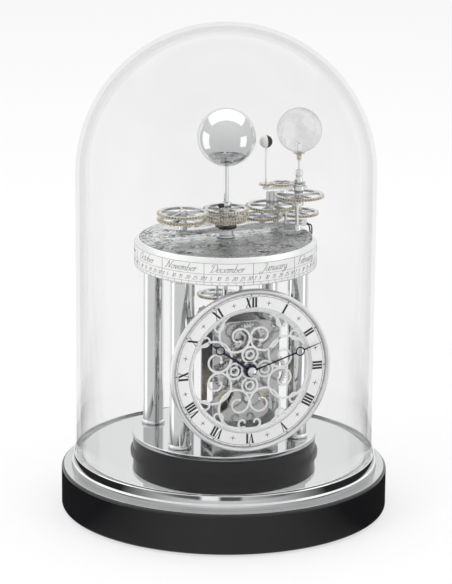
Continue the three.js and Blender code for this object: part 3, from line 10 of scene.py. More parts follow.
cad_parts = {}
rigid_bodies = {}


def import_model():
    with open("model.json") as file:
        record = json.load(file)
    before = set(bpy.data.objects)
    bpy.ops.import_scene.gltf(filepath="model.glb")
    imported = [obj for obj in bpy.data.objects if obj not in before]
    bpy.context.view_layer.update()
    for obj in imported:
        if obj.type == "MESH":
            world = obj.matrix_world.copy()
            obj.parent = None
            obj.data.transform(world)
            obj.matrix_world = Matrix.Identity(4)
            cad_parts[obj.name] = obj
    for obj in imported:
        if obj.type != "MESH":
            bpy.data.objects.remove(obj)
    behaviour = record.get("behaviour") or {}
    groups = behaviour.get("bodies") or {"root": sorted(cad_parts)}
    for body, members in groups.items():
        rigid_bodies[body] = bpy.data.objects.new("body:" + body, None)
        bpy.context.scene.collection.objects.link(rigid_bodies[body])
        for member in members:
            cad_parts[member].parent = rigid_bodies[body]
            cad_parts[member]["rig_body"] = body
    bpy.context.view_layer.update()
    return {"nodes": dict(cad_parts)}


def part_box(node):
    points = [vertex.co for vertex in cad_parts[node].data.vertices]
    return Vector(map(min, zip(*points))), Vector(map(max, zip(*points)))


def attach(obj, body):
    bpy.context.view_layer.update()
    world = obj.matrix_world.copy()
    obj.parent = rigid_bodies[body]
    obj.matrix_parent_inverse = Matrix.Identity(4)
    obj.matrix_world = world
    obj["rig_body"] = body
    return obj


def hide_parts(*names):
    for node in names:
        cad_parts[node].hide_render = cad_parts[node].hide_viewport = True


bl_info = {
    "name": "Tellurion Table Clock",
    "version": (1, 0, 0),
    "blender": (4, 5, 0),
    "location": "View3D > Sidebar > Tellurion",
    "description": "Dresses a tellurion table clock that stands under a glass dome",
    "category": "Add Mesh",
}

# The frame: everything below is measured in millimetres and set in metres
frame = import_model()
MM = 0.001
TURN = 2 * math.pi


def heights_of(node):
    """Heights of a CAD node's lowest and highest corners, in millimetres."""
    return tuple(corner.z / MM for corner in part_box(node))


def radius_of(node):
    """Half the width of an upright turned CAD node, in millimetres."""
    low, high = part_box(node)
    return (high.x - low.x) / 2 / MM


def middle_of(node):
    """Where an upright CAD node's axis stands, in millimetres."""
    low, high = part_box(node)
    return (low.x + high.x) / 2 / MM, (low.y + high.y) / 2 / MM


FELT = 1.5                    # thickness of the felt pad
SURFACE = 41.4                # polished plate inside the groove
BASE_TOP = heights_of("base_disc")[1]
PLINTH_TOP = heights_of("plinth_plate")[1]
SUPPORT_BOTTOM, SUPPORT_TOP = heights_of("support_plate")
STAR_TOP = heights_of("star_plate")[1]
CALENDAR_RADIUS = radius_of("calendar_ring")

# The dial: how far in front of the clock's axis each layer lies
DIAL_CENTRE = 118.4           # height of its middle
BEZEL_BACK, BEZEL_FRONT = 55.0, 60.0
CHAPTER_BACK, CHAPTER_FRONT = 56.3, 57.8
SHEET_BACK, SHEET_FRONT = 55.3, 56.3

# The tellurion: distances along the carriage arm, and of the moon from the earth's axis
EARTH_REACH = 58.0
IDLER_REACH = 29.0
MONTH_REACH = 36.4
LEFT_REACH = 34.0
MOON_REACH = 25.0
ARM_TURN, MOON_ARM_TURN = math.radians(5), math.radians(169.5)

# Where each group of pieces stands: the dial's own plane, the arm, and the moon's arm
DIAL = Matrix.Translation((0, 0, DIAL_CENTRE)) @ Matrix.Rotation(TURN / 4, 4, "X")
ARM = Matrix.Translation((0, 0, STAR_TOP)) @ Matrix.Rotation(ARM_TURN, 4, "Z")
MOON_ARM = (ARM @ Matrix.Translation((EARTH_REACH, 0, 0))
            @ Matrix.Rotation(MOON_ARM_TURN, 4, "Z"))
UPRIGHT = Matrix.Identity(4)

# The finishes of the wheels, and the number by which a face names each of them
TRAIN = "wheel_steel brass chrome black_screw"
STEEL, BRASS, CHROME, BLACK = range(4)


# Outlines in the plane

def polar(radius, angle, x=0.0, y=0.0):
    return (x + radius * math.cos(angle), y + radius * math.sin(angle))


def circle(radius, sides=32, x=0.0, y=0.0):
    return [polar(radius, TURN * k / sides, x, y) for k in range(sides)]


def box(left, low, right, high):
    """A rectangle from its lower left corner to its upper right one."""
    return [(left, low), (right, low), (right, high), (left, high)]


def quarter(radius, height, centre, steps, first=0):
    """A quarter of an oval, from its foot to just below its top."""
    angles = [TURN / 4 * k / steps for k in range(first, steps)]
    return [(radius * math.cos(a), centre + height * math.sin(a)) for a in angles]


HOLD = 0.12                   # distance from an arc to the point that keeps the shading flat


def rounded(profile, radius, steps=3):
    """A closed outline with each corner turned into a small arc."""
    out = []
    count = len(profile)
    for i, corner in enumerate(profile):
        here = Vector(corner)
        before = Vector(profile[i - 1]) - here
        after = Vector(profile[(i + 1) % count]) - here
        reach = min(radius, before.length * 0.45, after.length * 0.45)
        if corner[0] < 1e-6 or reach < 1e-4:
            out.append(tuple(corner))
            continue
        start, end = here + before.normalized() * reach, here + after.normalized() * reach
        # A point just outside the arc keeps the shading of a long flat side flat
        if before.length > 4 * reach + HOLD:
            out.append(tuple(here + before.normalized() * (reach + HOLD)))
        for k in range(steps + 1):
            t = k / steps
            out.append(tuple(start * (1 - t) ** 2 + here * 2 * t * (1 - t) + end * t * t))
        if after.length > 4 * reach + HOLD:
            out.append(tuple(here + after.normalized() * (reach + HOLD)))
    return out


def smooth_path(points, steps=6):
    """A soft curve through the points of a pen stroke or a wire."""
    if len(points) < 3:
        return [Vector(p) for p in points]
    vectors = [Vector(p) for p in points]
    ends = [vectors[0] * 2 - vectors[1]] + vectors + [vectors[-1] * 2 - vectors[-2]]
    out = []
    for i in range(1, len(ends) - 2):
        a, b, c, d = ends[i - 1:i + 3]
        for k in range(steps):
            t = k / steps
            out.append(0.5 * (b * 2 + (c - a) * t + (a * 2 - b * 5 + c * 4 - d) * t * t
                              + (b * 3 - a - c * 3 + d) * t ** 3))
    out.append(vectors[-1])
    return out


def root_of(teeth, tip):
    """Radius at the foot of a wheel's teeth."""
    return tip - 2.25 * tip / (teeth / 2 + 1)


# Half of a tooth, from its foot to its crown: depth in modules and share of the pitch
TOOTH = ((2.25, 0.36), (1.0, 0.23), (0.3, 0.13), (0.0, 0.06))


def tooth_outline(teeth, tip, phase, x, y):
    """A gear's outline: each tooth has a narrow crown, rounded shoulders and a wider foot."""
    module = tip / (teeth / 2 + 1)
    out = []
    for i in range(teeth):
        middle = phase + TURN * i / teeth
        for depth, share in [(d, -s) for d, s in TOOTH] + list(reversed(TOOTH)):
            out.append(polar(tip - depth * module, middle + share * TURN / teeth, x, y))
    return out


def swung(angle, loop, x=0.0, y=0.0):
    """A loop that is turned about the origin and then moved."""
    c, s = math.cos(angle), math.sin(angle)
    return [(x + c * u - s * v, y + s * u + c * v) for u, v in loop]


def neighbours(path, i):
    """The points before and after the one at i; at an end, the end itself."""
    return Vector(path[max(i - 1, 0)]), Vector(path[min(i + 1, len(path) - 1)])


class Shape:
    """The faces of one piece, in millimetres, each with the number of its finish."""

    def __init__(self):
        self.points, self.faces, self.finish = [], [], []

    def face(self, corners, finish):
        kept = list(dict.fromkeys(corners))
        if len(kept) > 2:
            self.faces.append(kept)
            self.finish.append(finish)

    def lathe(self, profile, sides=64, finish=0, x=0.0, y=0.0, bands=None):
        """A turned solid from a closed outline of (radius, height)."""
        rings = []
        for radius, height in profile:
            first = len(self.points)
            if radius < 1e-6:
                self.points.append((x, y, height))
                rings.append([first] * sides)
            else:
                self.points += [(*polar(radius, TURN * k / sides, x, y), height)
                                for k in range(sides)]
                rings.append(list(range(first, first + sides)))
        for i, lower in enumerate(rings):
            upper = rings[(i + 1) % len(rings)]
            if lower[0] == lower[-1] and upper[0] == upper[-1]:
                continue
            band = bands[i] if bands else finish
            for k in range(sides):
                n = (k + 1) % sides
                self.face([lower[k], lower[n], upper[n], upper[k]], band)
        return self

    def turned(self, profile, ease, steps, sides=64, finish=0, x=0.0, y=0.0):
        """A turned solid with eased corners."""
        return self.lathe(rounded(profile, ease, steps), sides, finish, x, y)

    def rod(self, radius, low, high, finish=0, x=0.0, y=0.0, edge=0.15, sides=24):
        """A pin with eased ends."""
        edge = min(edge, radius * 0.4, (high - low) * 0.4)
        return self.lathe([(0, low), (radius - edge, low), (radius, low + edge),
                           (radius, high - edge), (radius - edge, high), (0, high)],
                          sides, finish, x, y)

    def tube(self, inner, outer, low, high, finish=0, x=0.0, y=0.0, edge=0.12, sides=32):
        """A pipe or collar with eased edges."""
        return self.turned(box(inner, low, outer, high), edge, 2, sides, finish, x, y)

    def plate(self, loops, low, high, finish=0, side=None):
        """A flat piece with any number of windows; the first loop is its outline."""
        side = finish if side is None else side
        first = len(self.points)
        flat = [p for loop in loops for p in loop]
        count = len(flat)
        self.points += [(*p, low) for p in flat] + [(*p, high) for p in flat]
        for tri in tessellate_polygon([[Vector((*p, 0)) for p in loop] for loop in loops]):
            self.face([first + i for i in reversed(tri)], finish)
            self.face([first + count + i for i in tri], finish)
        start = first
        for loop in loops:
            for k in range(len(loop)):
                n = (k + 1) % len(loop)
                self.face([start + k, start + n, start + n + count, start + k + count],
                          side if start == first else finish)
            start += len(loop)
        return self

    def loft(self, sections, finish=0):
        """A solid through a row of equal cross-sections, closed at both ends."""
        first, sides = len(self.points), len(sections[0])
        for section in sections:
            self.points += [tuple(p) for p in section]
        for i in range(len(sections) - 1):
            for k in range(sides):
                n = (k + 1) % sides
                a, b = first + i * sides, first + (i + 1) * sides
                self.face([a + k, a + n, b + n, b + k], finish)
        last = first + (len(sections) - 1) * sides
        self.face([first + k for k in reversed(range(sides))], finish)
        self.face([last + k for k in range(sides)], finish)
        return self

    def wire(self, path, radius, finish=0, sides=10):
        """A round wire along a path; radius is one number or one for each point."""
        radii = radius if isinstance(radius, list) else [radius] * len(path)
        side = None
        sections = []
        for i, point in enumerate(path):
            behind, ahead = neighbours(path, i)
            along = (ahead - behind).normalized()
            if side is None:
                side = along.orthogonal().normalized()
            side = (side - along * side.dot(along)).normalized()
            other = along.cross(side)
            ring = [polar(1, TURN * k / sides) for k in range(sides)]
            sections.append([Vector(point) + radii[i] * (side * c + other * s) for c, s in ring])
        return self.loft(sections, finish)

    def ribbon(self, path, width, low, high, finish=0, edge=0.25, place=None):
        """A flat band with eased upper edges along a plane path; width may vary along it."""
        widths = width if isinstance(width, list) else [width] * len(path)
        sections = []
        for i, point in enumerate(path):
            behind, ahead = neighbours(path, i)
            along = (ahead - behind).normalized() if ahead != behind else Vector((1, 0))
            across, half = Vector((-along.y, along.x)), widths[i] / 2
            ease = min(edge, half * 0.8, (high - low) * 0.5)
            section = []
            for offset, height in ((-half, low), (-half, high - ease), (ease - half, high),
                                   (half - ease, high), (half, high - ease), (half, low)):
                flat = Vector((point[0], point[1])) + across * offset
                spot = (flat.x, flat.y, height)
                section.append(place(spot) if place else spot)
            sections.append(section)
        return self.loft(sections, finish)

    def gear(self, node, teeth, low, high, group=DIAL, spot=(0, 0), bore=0.0, spokes=0, hub=0.0,
             rim=1.7, spoke=1.6, finish=STEEL, teeth_finish=BRASS):
        """A wheel with the teeth of its CAD node, as they are read there between its faces."""
        x, y = spot
        tip, phase = teeth_of(node, teeth, low, high, group, x, y)
        loops = [tooth_outline(teeth, tip, phase, x, y)]
        inside = root_of(teeth, tip) - rim
        for i in range(spokes):
            middle = phase + TURN * (i + 0.5) / spokes
            outer = math.pi / spokes - math.asin(spoke / 2 / inside)
            inner = max(0.05, math.pi / spokes - math.asin(min(1, spoke / 2 / hub)))
            window = [polar(inside, middle + outer * (1 - 2 * k / 12), x, y) for k in range(13)]
            window += [polar(hub, middle - inner * (1 - 2 * k / 4), x, y) for k in range(5)]
            loops.append(window)
        if bore > 0:
            loops.append(circle(bore, 24, x, y))
        return self.plate(loops, low, high, finish, teeth_finish)

    def pinion(self, node, teeth, low, high, group=DIAL, spot=(0, 0), bore=0.0, leaves=CHROME):
        """A small chrome wheel without spokes."""
        return self.gear(node, teeth, low, high, group, spot, bore,
                         finish=CHROME, teeth_finish=leaves)

    def screw(self, radius, low, x, y, finish, slot_finish, turn):
        """A screw head whose slot is a thin strip laid across its top, not cut; a dark strip is
        painted shade.
        """
        high = low + radius * 0.7
        self.turned(box(0, low, radius, high), radius * 0.25, 2, 20, finish, x, y)
        # The slot is a strip in its own finish; where that is dark, it is painted shade for the
        # slot's hollow
        half, thick = radius * 0.92, radius * 0.14
        slot = swung(turn, box(-half, -thick, half, thick), x, y)
        return self.plate([slot], high - 0.1, high + 0.03, slot_finish)

    def ball(self, radius, height, sides, steps, reach, socket, deep):
        """A globe with a socket below for its stem."""
        start = math.asin(socket / radius)
        profile = [(0, height - radius + deep), (socket, height - radius + deep)]
        for i in range(steps + 1):
            angle = start + (math.pi - start) * i / steps
            ring = 0 if i == steps else radius * math.sin(angle)
            profile.append((ring, height - radius * math.cos(angle)))
        return self.lathe(profile, sides, 0, reach)


def link(thing):
    bpy.context.scene.collection.objects.link(thing)
    return thing


def make(name, shape, finishes, nodes=(), place=UPRIGHT, body=None, sharp=32):
    """Sets a shape into the scene as one piece that rides on its CAD body."""
    mesh = bpy.data.meshes.new(name)
    mesh.from_pydata([tuple((place @ Vector(p)) * MM) for p in shape.points], [], shape.faces)
    mesh.polygons.foreach_set("material_index", shape.finish)
    work = bmesh.new()
    work.from_mesh(mesh)
    bmesh.ops.recalc_face_normals(work, faces=work.faces)
    work.to_mesh(mesh)
    work.free()
    mesh.shade_smooth()
    mesh.set_sharp_from_angle(angle=math.radians(sharp))
    for finish in finishes.split():
        mesh.materials.append(FINISHES[finish])
    piece = link(bpy.data.objects.new(name, mesh))
    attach(piece, body or frame["nodes"][nodes[0]]["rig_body"])
    if nodes:
        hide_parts(*nodes)


def dress(node, word, shape, finishes, place=UPRIGHT, sharp=32):
    """Sets a shape in the place of a CAD node, under the node's name and a word."""
    make(f"{node}_{word}", shape, finishes, [node], place, sharp=sharp)


def teeth_of(node, teeth, low, high, group, x, y):
    """Tip radius and turn of a CAD wheel, read at its two faces' heights in its group."""
    back = group.inverted()
    spots = []
    for vertex in frame["nodes"][node].data.vertices:
        spot = back @ (vertex.co / MM)
        if min(abs(spot.z - low), abs(spot.z - high)) < 0.05:
            spots.append(Vector((spot.x - x, spot.y - y)))
    tip = max(s.length for s in spots)
    c = s = 0.0
    for spot in spots:
        if spot.length > tip - 0.08:
            angle = math.atan2(spot.y, spot.x) * teeth
            c, s = c + math.cos(angle), s + math.sin(angle)
    return tip, math.atan2(s, c) / teeth


# Finishes

class Nodes:
    """A small helper that lays out the nodes of one finish, or of the world."""

    def __init__(self, name, world=None):
        self.owner = world or bpy.data.materials.new(name)
        self.owner.use_nodes = True
        self.tree = self.owner.node_tree
        self.tree.nodes.clear()
        kind = "ShaderNodeOutputWorld" if world else "ShaderNodeOutputMaterial"
        self.output = self.tree.nodes.new(kind)

    def add(self, kind, inputs=None, **settings):
        node = self.tree.nodes.new("ShaderNode" + kind)
        for key, value in settings.items():
            setattr(node, key, value)
        for key, value in (inputs or {}).items():
            if isinstance(value, bpy.types.NodeSocket):
                self.tree.links.new(value, node.inputs[key])
            else:
                node.inputs[key].default_value = value
        return node

    def vector(self, operation, *inputs, result=0):
        node = self.add("VectorMath", dict(enumerate(inputs)), operation=operation)
        return node.outputs[result]

    def dot(self, vector, *axis):
        return self.vector("DOT_PRODUCT", vector, axis, result="Value")

    def scaled(self, vector, share):
        values = {0: vector, "Scale": share}
        return self.add("VectorMath", values, operation="SCALE").outputs[0]

    def blend(self, share, first, second):
        return self.add("MixShader", {0: share, 1: first, 2: second}).outputs[0]

    def noise(self, scale, detail=3.0, rough=0.5):
        """Noise over the piece's own coordinates; scale is in cells across one metre."""
        where = self.add("TexCoord").outputs["Object"]
        return self.add("TexNoise", {"Vector": where, "Scale": scale, "Detail": detail,
                                     "Roughness": rough}).outputs["Fac"]

    def turned_noise(self, scale):
        """Fine rings round the clock's axis, as a lathe or a polishing wheel leaves them."""
        where = self.add("TexCoord").outputs["Object"]
        flat = self.vector("MULTIPLY", where, (1, 1, 0))
        reach = self.vector("LENGTH", flat, result="Value")
        return self.add("TexNoise", {"W": reach, "Scale": scale, "Detail": 4.0},
                        noise_dimensions="1D").outputs["Fac"]

    def math(self, operation, a, b=0.5, clamp=False):
        return self.add("Math", {0: a, 1: b}, operation=operation, use_clamp=clamp).outputs[0]

    def spread(self, value, low, high, start=0.3, end=0.7):
        return self.add("MapRange", {"Value": value, "From Min": start, "From Max": end,
                                     "To Min": low, "To Max": high}).outputs[0]

    def mixed(self, value, first, second):
        mix = self.add("Mix", {"Factor": value}, data_type="RGBA")
        for key, colour in ((6, first), (7, second)):
            if isinstance(colour, bpy.types.NodeSocket):
                self.tree.links.new(colour, mix.inputs[key])
            else:
                mix.inputs[key].default_value = (*colour, 1.0)
        return mix.outputs[2]

    def done(self, shader):
        self.tree.links.new(shader, self.output.inputs["Surface"])
        return self.owner


def shade(colour, share):
    return tuple(min(1.0, c * share) for c in colour)


RELIEF = 0.0002               # depth of a grain or of engraving, in metres


def worked(name, colour, metallic, rough, uneven, scale, bump=0.0, rings=0.0, fine=900.0,
           sheen=0.0):
    """A finish with slightly uneven colour and polish, and a grain in its surface."""
    n = Nodes(name)
    cloud = n.turned_noise(rings) if rings else n.noise(scale)
    tint = n.mixed(n.spread(cloud, 0, 1), shade(colour, 1 - uneven), shade(colour, 1 + uneven))
    polish = n.spread(n.noise(scale * 1.7, 4.0), *rough)
    values = {"Base Color": tint, "Metallic": metallic, "Roughness": polish,
              "Sheen Weight": sheen}
    if bump:
        grain = n.turned_noise(rings) if rings else n.noise(fine)
        values["Normal"] = n.add("Bump", {"Height": grain, "Strength": bump,
                                          "Distance": RELIEF}).outputs[0]
    return n.done(n.add("BsdfPrincipled", values).outputs[0])


def clear_glass(name, face_tint, edge_tint, gloss=0.4, frost=0.0):
    """Clear glass: the light goes straight through, and it is greyer where it is seen edge on."""
    n = Nodes(name)
    slant = n.add("LayerWeight", {"Blend": 0.5}).outputs["Facing"]
    dust = n.spread(n.noise(14, 2.0), 0.985, 1.0)
    tint = n.mixed(n.spread(slant, 0.0, 1.0, 0.625, 0.665), face_tint, edge_tint)
    through = n.add("BsdfTransparent", {"Color": n.scaled(tint, dust)}).outputs[0]
    mirror = n.add("BsdfGlossy", {"Roughness": 0.015, "Color": (1, 1, 1, 1)}).outputs[0]
    share = n.math("ADD", n.math("MULTIPLY", n.math("POWER", slant, 5.0), gloss), 0.006)
    glass = n.blend(share, through, mirror)
    if frost:
        land = n.spread(n.noise(44, 4.0, 0.55), 0.02, frost, 0.49, 0.62)
        matt = n.add("BsdfDiffuse", {"Color": (0.56, 0.56, 0.565, 1)}).outputs[0]
        glass = n.blend(land, glass, matt)
    return n.done(glass)


def star_chart(name, light, dark):
    """Engraved and blackened metal: clouds of fine cuts in a plate that is brushed in rings."""
    n = Nodes(name)
    cloud = n.spread(n.noise(34, 5.0, 0.7), 0.12, 1.0, 0.46, 0.6)
    cuts = n.spread(n.noise(360, 4.0, 0.7), 0.0, 1.0, 0.45, 0.56)
    ink = n.math("MULTIPLY", cloud, cuts, True)
    rings = n.spread(n.turned_noise(900), 0.9, 1.08)
    worn = n.scaled(n.mixed(ink, light, dark), rings)
    bump = n.add("Bump", {"Height": ink, "Strength": 0.35, "Distance": RELIEF},
                 invert=True).outputs[0]
    around = n.add("Tangent", direction_type="RADIAL", axis="Z").outputs[0]
    values = {"Base Color": worn, "Metallic": 0.9, "Roughness": n.spread(ink, 0.26, 0.5, 0, 1),
              "Anisotropic": 0.85, "Tangent": around, "Normal": bump}
    return n.done(n.add("BsdfPrincipled", values).outputs[0])


FINISHES = {}

# The painted, printed and fired finishes: colour, metallic share, polish from and to, unevenness
# of the colour, cells of cloud across a metre and the depth of its grain
PLAIN = {
    "silvered": ((0.88, 0.88, 0.875), 0.0, (0.38, 0.48), 0.015, 35, 0.05),
    "frosted": ((0.95, 0.95, 0.95), 0, (0.4, 0.5), 0.05, 200, 0.1),
    "fine_ink": ((0.13, 0.13, 0.14), 0, (0.4, 0.55), 0.2, 300),
    "pen_ink": ((0.055, 0.055, 0.06), 0, (0.4, 0.55), 0.2, 300),
    "black_screw": ((0.015, 0.015, 0.017), 0.3, (0.3, 0.4), 0.2, 300, 0.1),
    "moon_white": ((0.8, 0.8, 0.78), 0, (0.4, 0.6), 0.06, 500, 0.2),
    "moon_black": ((0.012, 0.012, 0.014), 0, (0.2, 0.3), 0.2, 500, 0.05),
}

# The metals, the same way, but with a share of the silver that a user may change
METALS = {
    "polished_plate": (0.97, 1, (0.025, 0.05), 0.02, 30, 0.01, 1500),
    "chrome": (1, 1, (0.03, 0.06), 0.02, 40),
    "satin_rim": (1.06, 0.85, (0.3, 0.4), 0.03, 50, 0.03),
    "ledge": (0.74, 1, (0.1, 0.16), 0.05, 40, 0.02),
    "steel": (0.72, 1, (0.2, 0.32), 0.06, 90, 0.08),
    "plate_steel": (0.7, 0.8, (0.14, 0.26), 0.08, 90, 0.06),
    "wheel_steel": (0.86, 1, (0.16, 0.28), 0.06, 120, 0.06),
    "filigree": (1.06, 0.55, (0.24, 0.36), 0.03, 90, 0.04),
    "sun_silver": (0.93, 1, (0.02, 0.04), 0.012, 12),
}


def mix_finishes(colours):
    """Makes every finish of the clock from the colours that a user may change."""
    for name, (colour, *rest) in PLAIN.items():
        FINISHES[name] = worked(name, colour, *rest)
    for name, (share, *rest) in METALS.items():
        FINISHES[name] = worked(name, shade(colours.silver, share), *rest)
    FINISHES.update({
        "lacquer": worked("lacquer", colours.lacquer, 0, (0.035, 0.045), 0.2, 20),
        "felt": worked("felt", (0.03, 0.03, 0.032), 0, (0.9, 1.0), 0.3, 300, 0.9, fine=2500,
                       sheen=0.4),
        "brass": worked("brass", colours.brass, 1, (0.2, 0.34), 0.1, 160, 0.08),
        "blued": worked("blued", colours.blued, 0.75, (0.18, 0.3), 0.25, 120, 0.03),
        "ink": worked("ink", colours.ink, 0, (0.4, 0.55), 0.3, 300),
        "engraved": star_chart("engraved", (0.76, 0.765, 0.77), (0.03, 0.03, 0.032)),
        "clear_glass": clear_glass("clear_glass", (0.977, 0.977, 0.977), (0.948, 0.948, 0.949)),
        "crystal": clear_glass("crystal", (0.965, 0.965, 0.967), (0.88, 0.88, 0.885), 0.5, 0.34),
    })


# Sizes and colours that a user would change

def size(name, words, value, low, high):
    return bpy.props.FloatProperty(name=name, description=words, unit="LENGTH",
                                   default=value * MM, min=low * MM, max=high * MM)


def colour(name, words, value):
    return bpy.props.FloatVectorProperty(name=name, description=words, subtype="COLOR",
                                         default=value, min=0, max=1)


class TellurionSizes(bpy.types.PropertyGroup):
    column_radius: size("Column radius", "Radius of the four chrome columns", 7.5, 4, 7.5)
    wire_width: size("Filigree width", "Width of the scrolls in the pierced dial", 1.7, 0.8, 1.9)
    letter_height: size("Letter height", "Height of a small letter on the calendar", 2.85, 1, 3.1)
    stars: bpy.props.IntProperty(name="Stars", description="Number of stars on the star plate",
                                 default=150, min=20, max=400)


class TellurionColours(bpy.types.PropertyGroup):
    silver: colour("Silver", "Colour of chrome and steel", (0.86, 0.865, 0.87))
    brass: colour("Brass", "Colour of the brass teeth", (0.73, 0.66, 0.53))
    lacquer: colour("Lacquer", "Colour of the lacquered base", (0.008, 0.008, 0.009))
    blued: colour("Blued steel", "Colour of the hands", (0.016, 0.02, 0.045))
    ink: colour("Ink", "Colour of the numerals", (0.014, 0.014, 0.016))


class ClockOperator:
    """What every operator of this clock has in common."""
    bl_options = {"REGISTER", "UNDO"}

    def execute(self, context):
        self.build(context.scene.tellurion_sizes)
        return {"FINISHED"}


# Camera, floor and light

CAMERA_AZIMUTH = math.radians(19)
CAMERA_PITCH = math.radians(15)
CAMERA_DISTANCE = 2208.92
CAMERA_HEIGHT = 162.11        # where the view's axis meets the clock's own
CAMERA_ASIDE = 0.54
CAMERA_ROLL = math.radians(-0.5)
LENS, SENSOR = 186.42, 36
CLIP = (0.1, 20)              # nearest and farthest that the camera sees, in metres

# The camera's own directions along the floor
RIGHT = Vector((math.cos(CAMERA_AZIMUTH), -math.sin(CAMERA_AZIMUTH), 0))
AHEAD = Vector((math.sin(CAMERA_AZIMUTH), math.cos(CAMERA_AZIMUTH), 0))


def place_camera():
    camera = link(bpy.data.objects.new("camera", bpy.data.cameras.new("camera")))
    bpy.context.scene.camera = camera
    camera.data.lens, camera.data.sensor_width = LENS, SENSOR
    camera.data.clip_start, camera.data.clip_end = CLIP
    c, s = math.cos(CAMERA_AZIMUTH), math.sin(CAMERA_AZIMUTH)
    flat, rise = math.cos(CAMERA_PITCH), math.sin(CAMERA_PITCH)
    ahead = Vector((flat * s, flat * c, -rise))
    aim = Vector((0, 0, CAMERA_HEIGHT)) + RIGHT * CAMERA_ASIDE
    camera.location = (aim - ahead * CAMERA_DISTANCE) * MM
    camera.rotation_mode = "QUATERNION"
    level = ahead.to_track_quat("-Z", "Y").to_matrix().to_4x4()
    camera.rotation_quaternion = (Matrix.Rotation(CAMERA_ROLL, 4, ahead) @ level).to_quaternion()


# Each window of the studio: how bright, from which turn to which (degrees to the right of the
# photo's camera, the same on both sides where it is a pair), and from which height to which
# (sine of the rise)
WINDOWS = (
    (0.65, -107, -73, -0.52, 0.18, False),
    (0.65, 57, 84, -0.42, 0.09, False),
    (0.32, 128, 142, -0.75, 0.22, True),
    (0.15, 144, 182, -0.9, 0.9, True),
)
WINDOW_EDGE = (2.0, 0.04)     # how softly they end sideways, in degrees, and upwards
CEILING = (1.2, -0.12, 1.9, 0.6)   # half width, near and far edge (in heights above), brightness
CEILING_EDGE = (0.12, 0.08)
HORIZON = 0.02                # the ceiling is seen only above this rise
ROOM_LOW, ROOM_HIGH = 0.66, 0.9
SECOND_BOUNCE = 0.75          # share of the room that metal shows when seen in other metal
PLAIN_LEVEL = 0.85


def seen_directly(n, rays):
    """One for what the camera sees, also through glass, and nought for the rest."""
    return n.math("MAXIMUM", rays["Is Camera Ray"], rays["Is Transmission Ray"])


def light_world():
    """White for the eye; for gloss, a pale room with bright windows and a ceiling."""
    world = bpy.data.worlds.new("studio")
    bpy.context.scene.world = world
    n = Nodes("studio", world)
    way = n.add("TexCoord").outputs["Generated"]

    def within(value, low, high, soft):
        off = n.math("ABSOLUTE", n.math("SUBTRACT", value, (low + high) / 2))
        half = (high - low) / 2
        return n.spread(off, 1.0, 0.0, half, half + soft)

    def both(first, second):
        return n.math("MULTIPLY", first, second)

    def add_light(room, patch, bright):
        return n.math("ADD", room, both(patch, bright))

    right, ahead, rise = n.dot(way, *RIGHT), n.dot(way, *AHEAD), n.dot(way, 0, 0, 1)
    turn = both(n.math("ARCTAN2", right, both(ahead, -1.0)), math.degrees(1))
    room = n.spread(rise, ROOM_LOW, ROOM_HIGH, -1.0, 1.0)
    for bright, start, end, low, high, pair in WINDOWS:
        facing = n.math("ABSOLUTE", turn) if pair else turn
        patch = both(within(facing, start, end, WINDOW_EDGE[0]),
                     within(rise, low, high, WINDOW_EDGE[1]))
        room = add_light(room, patch, bright)
    height = n.math("MAXIMUM", rise, HORIZON)
    half, near, far, bright = CEILING
    patch = both(within(n.math("DIVIDE", right, height), -half, half, CEILING_EDGE[0]),
                 within(n.math("DIVIDE", ahead, height), near, far, CEILING_EDGE[1]))
    room = add_light(room, both(patch, n.math("GREATER_THAN", rise, HORIZON)), bright)
    rays = n.add("LightPath").outputs
    deep = n.math("GREATER_THAN", rays["Glossy Depth"], 1.5)
    room = both(room, n.spread(deep, 1.0, SECOND_BOUNCE, 0, 1))
    level = n.spread(rays["Is Glossy Ray"], PLAIN_LEVEL, room, 0, 1)
    level = n.spread(seen_directly(n, rays), level, 1.0, 0, 1)
    n.done(n.add("Background", {"Color": (1, 1, 1, 1), "Strength": level}).outputs[0])


# Each lamp: name, watts, width, height, turn to the right of the camera, height angle, distance
LAMPS = (
    ("overhead", 11.0, 2.4, 2.0, 180, 72, 1.7),
    ("left_lamp", 9.0, 0.7, 1.2, -45, 22, 1.9),
    ("right_lamp", 5.0, 0.7, 1.2, 50, 22, 1.9),
)
LAMP_AIM = Vector((0, 0, 0.17))


def hang_lamp(name, power, width, height, azimuth, rise, distance):
    """A soft lamp that faces the clock and isn't seen itself."""
    data = bpy.data.lights.new(name, "AREA")
    data.shape, data.size, data.size_y, data.energy = "RECTANGLE", width, height, power
    lamp = link(bpy.data.objects.new(name, data))
    a, e = math.radians(azimuth) - CAMERA_AZIMUTH, math.radians(rise)
    away = Vector((math.sin(a) * math.cos(e), -math.cos(a) * math.cos(e), math.sin(e)))
    lamp.location = LAMP_AIM + away * distance
    lamp.rotation_mode = "QUATERNION"
    lamp.rotation_quaternion = away.to_track_quat("Z", "Y")
    lamp.visible_camera = lamp.visible_glossy = False


FLOOR_HALF = 6.0                        # half the floor's width, in metres
FLOOR_COLOUR = 0.84
FLOOR_SEEN, FLOOR_LIFT = 0.34, 0.62     # its colour and glow for the eye: together white
PAINTED_GLOW_REACH = (0.25, 0.28)                    # gloss sees the floor's painted glow to here, and the room beyond
PAINTED_SHADE_REACH = 0.225                      # painted shadow: round the base, to here, the floor's glow in gloss is dark, seen in the lacquer
PAINTED_SHADE_FRONT = (0.02, 0.62, 0.45, 1.0)    # painted shadow close to the base: from, to, over this share of front
# Painted reflection: how bright the floor's glow is in gloss behind the clock
PAINTED_REFLECTION_BACK = 0.5
# Painted reflections in gloss: how bright in front, from its left end (0) to its right end (1)
PAINTED_REFLECTION_BANDS = ((0, 0.5), (0.2, 0.3), (0.27, 0.12), (0.38, 0.1), (0.4, 0.95), (0.47, 0.9),
               (0.49, 0.08), (0.58, 0.1), (0.6, 0.5), (0.7, 0.35), (0.78, 0.1), (1, 0.45))


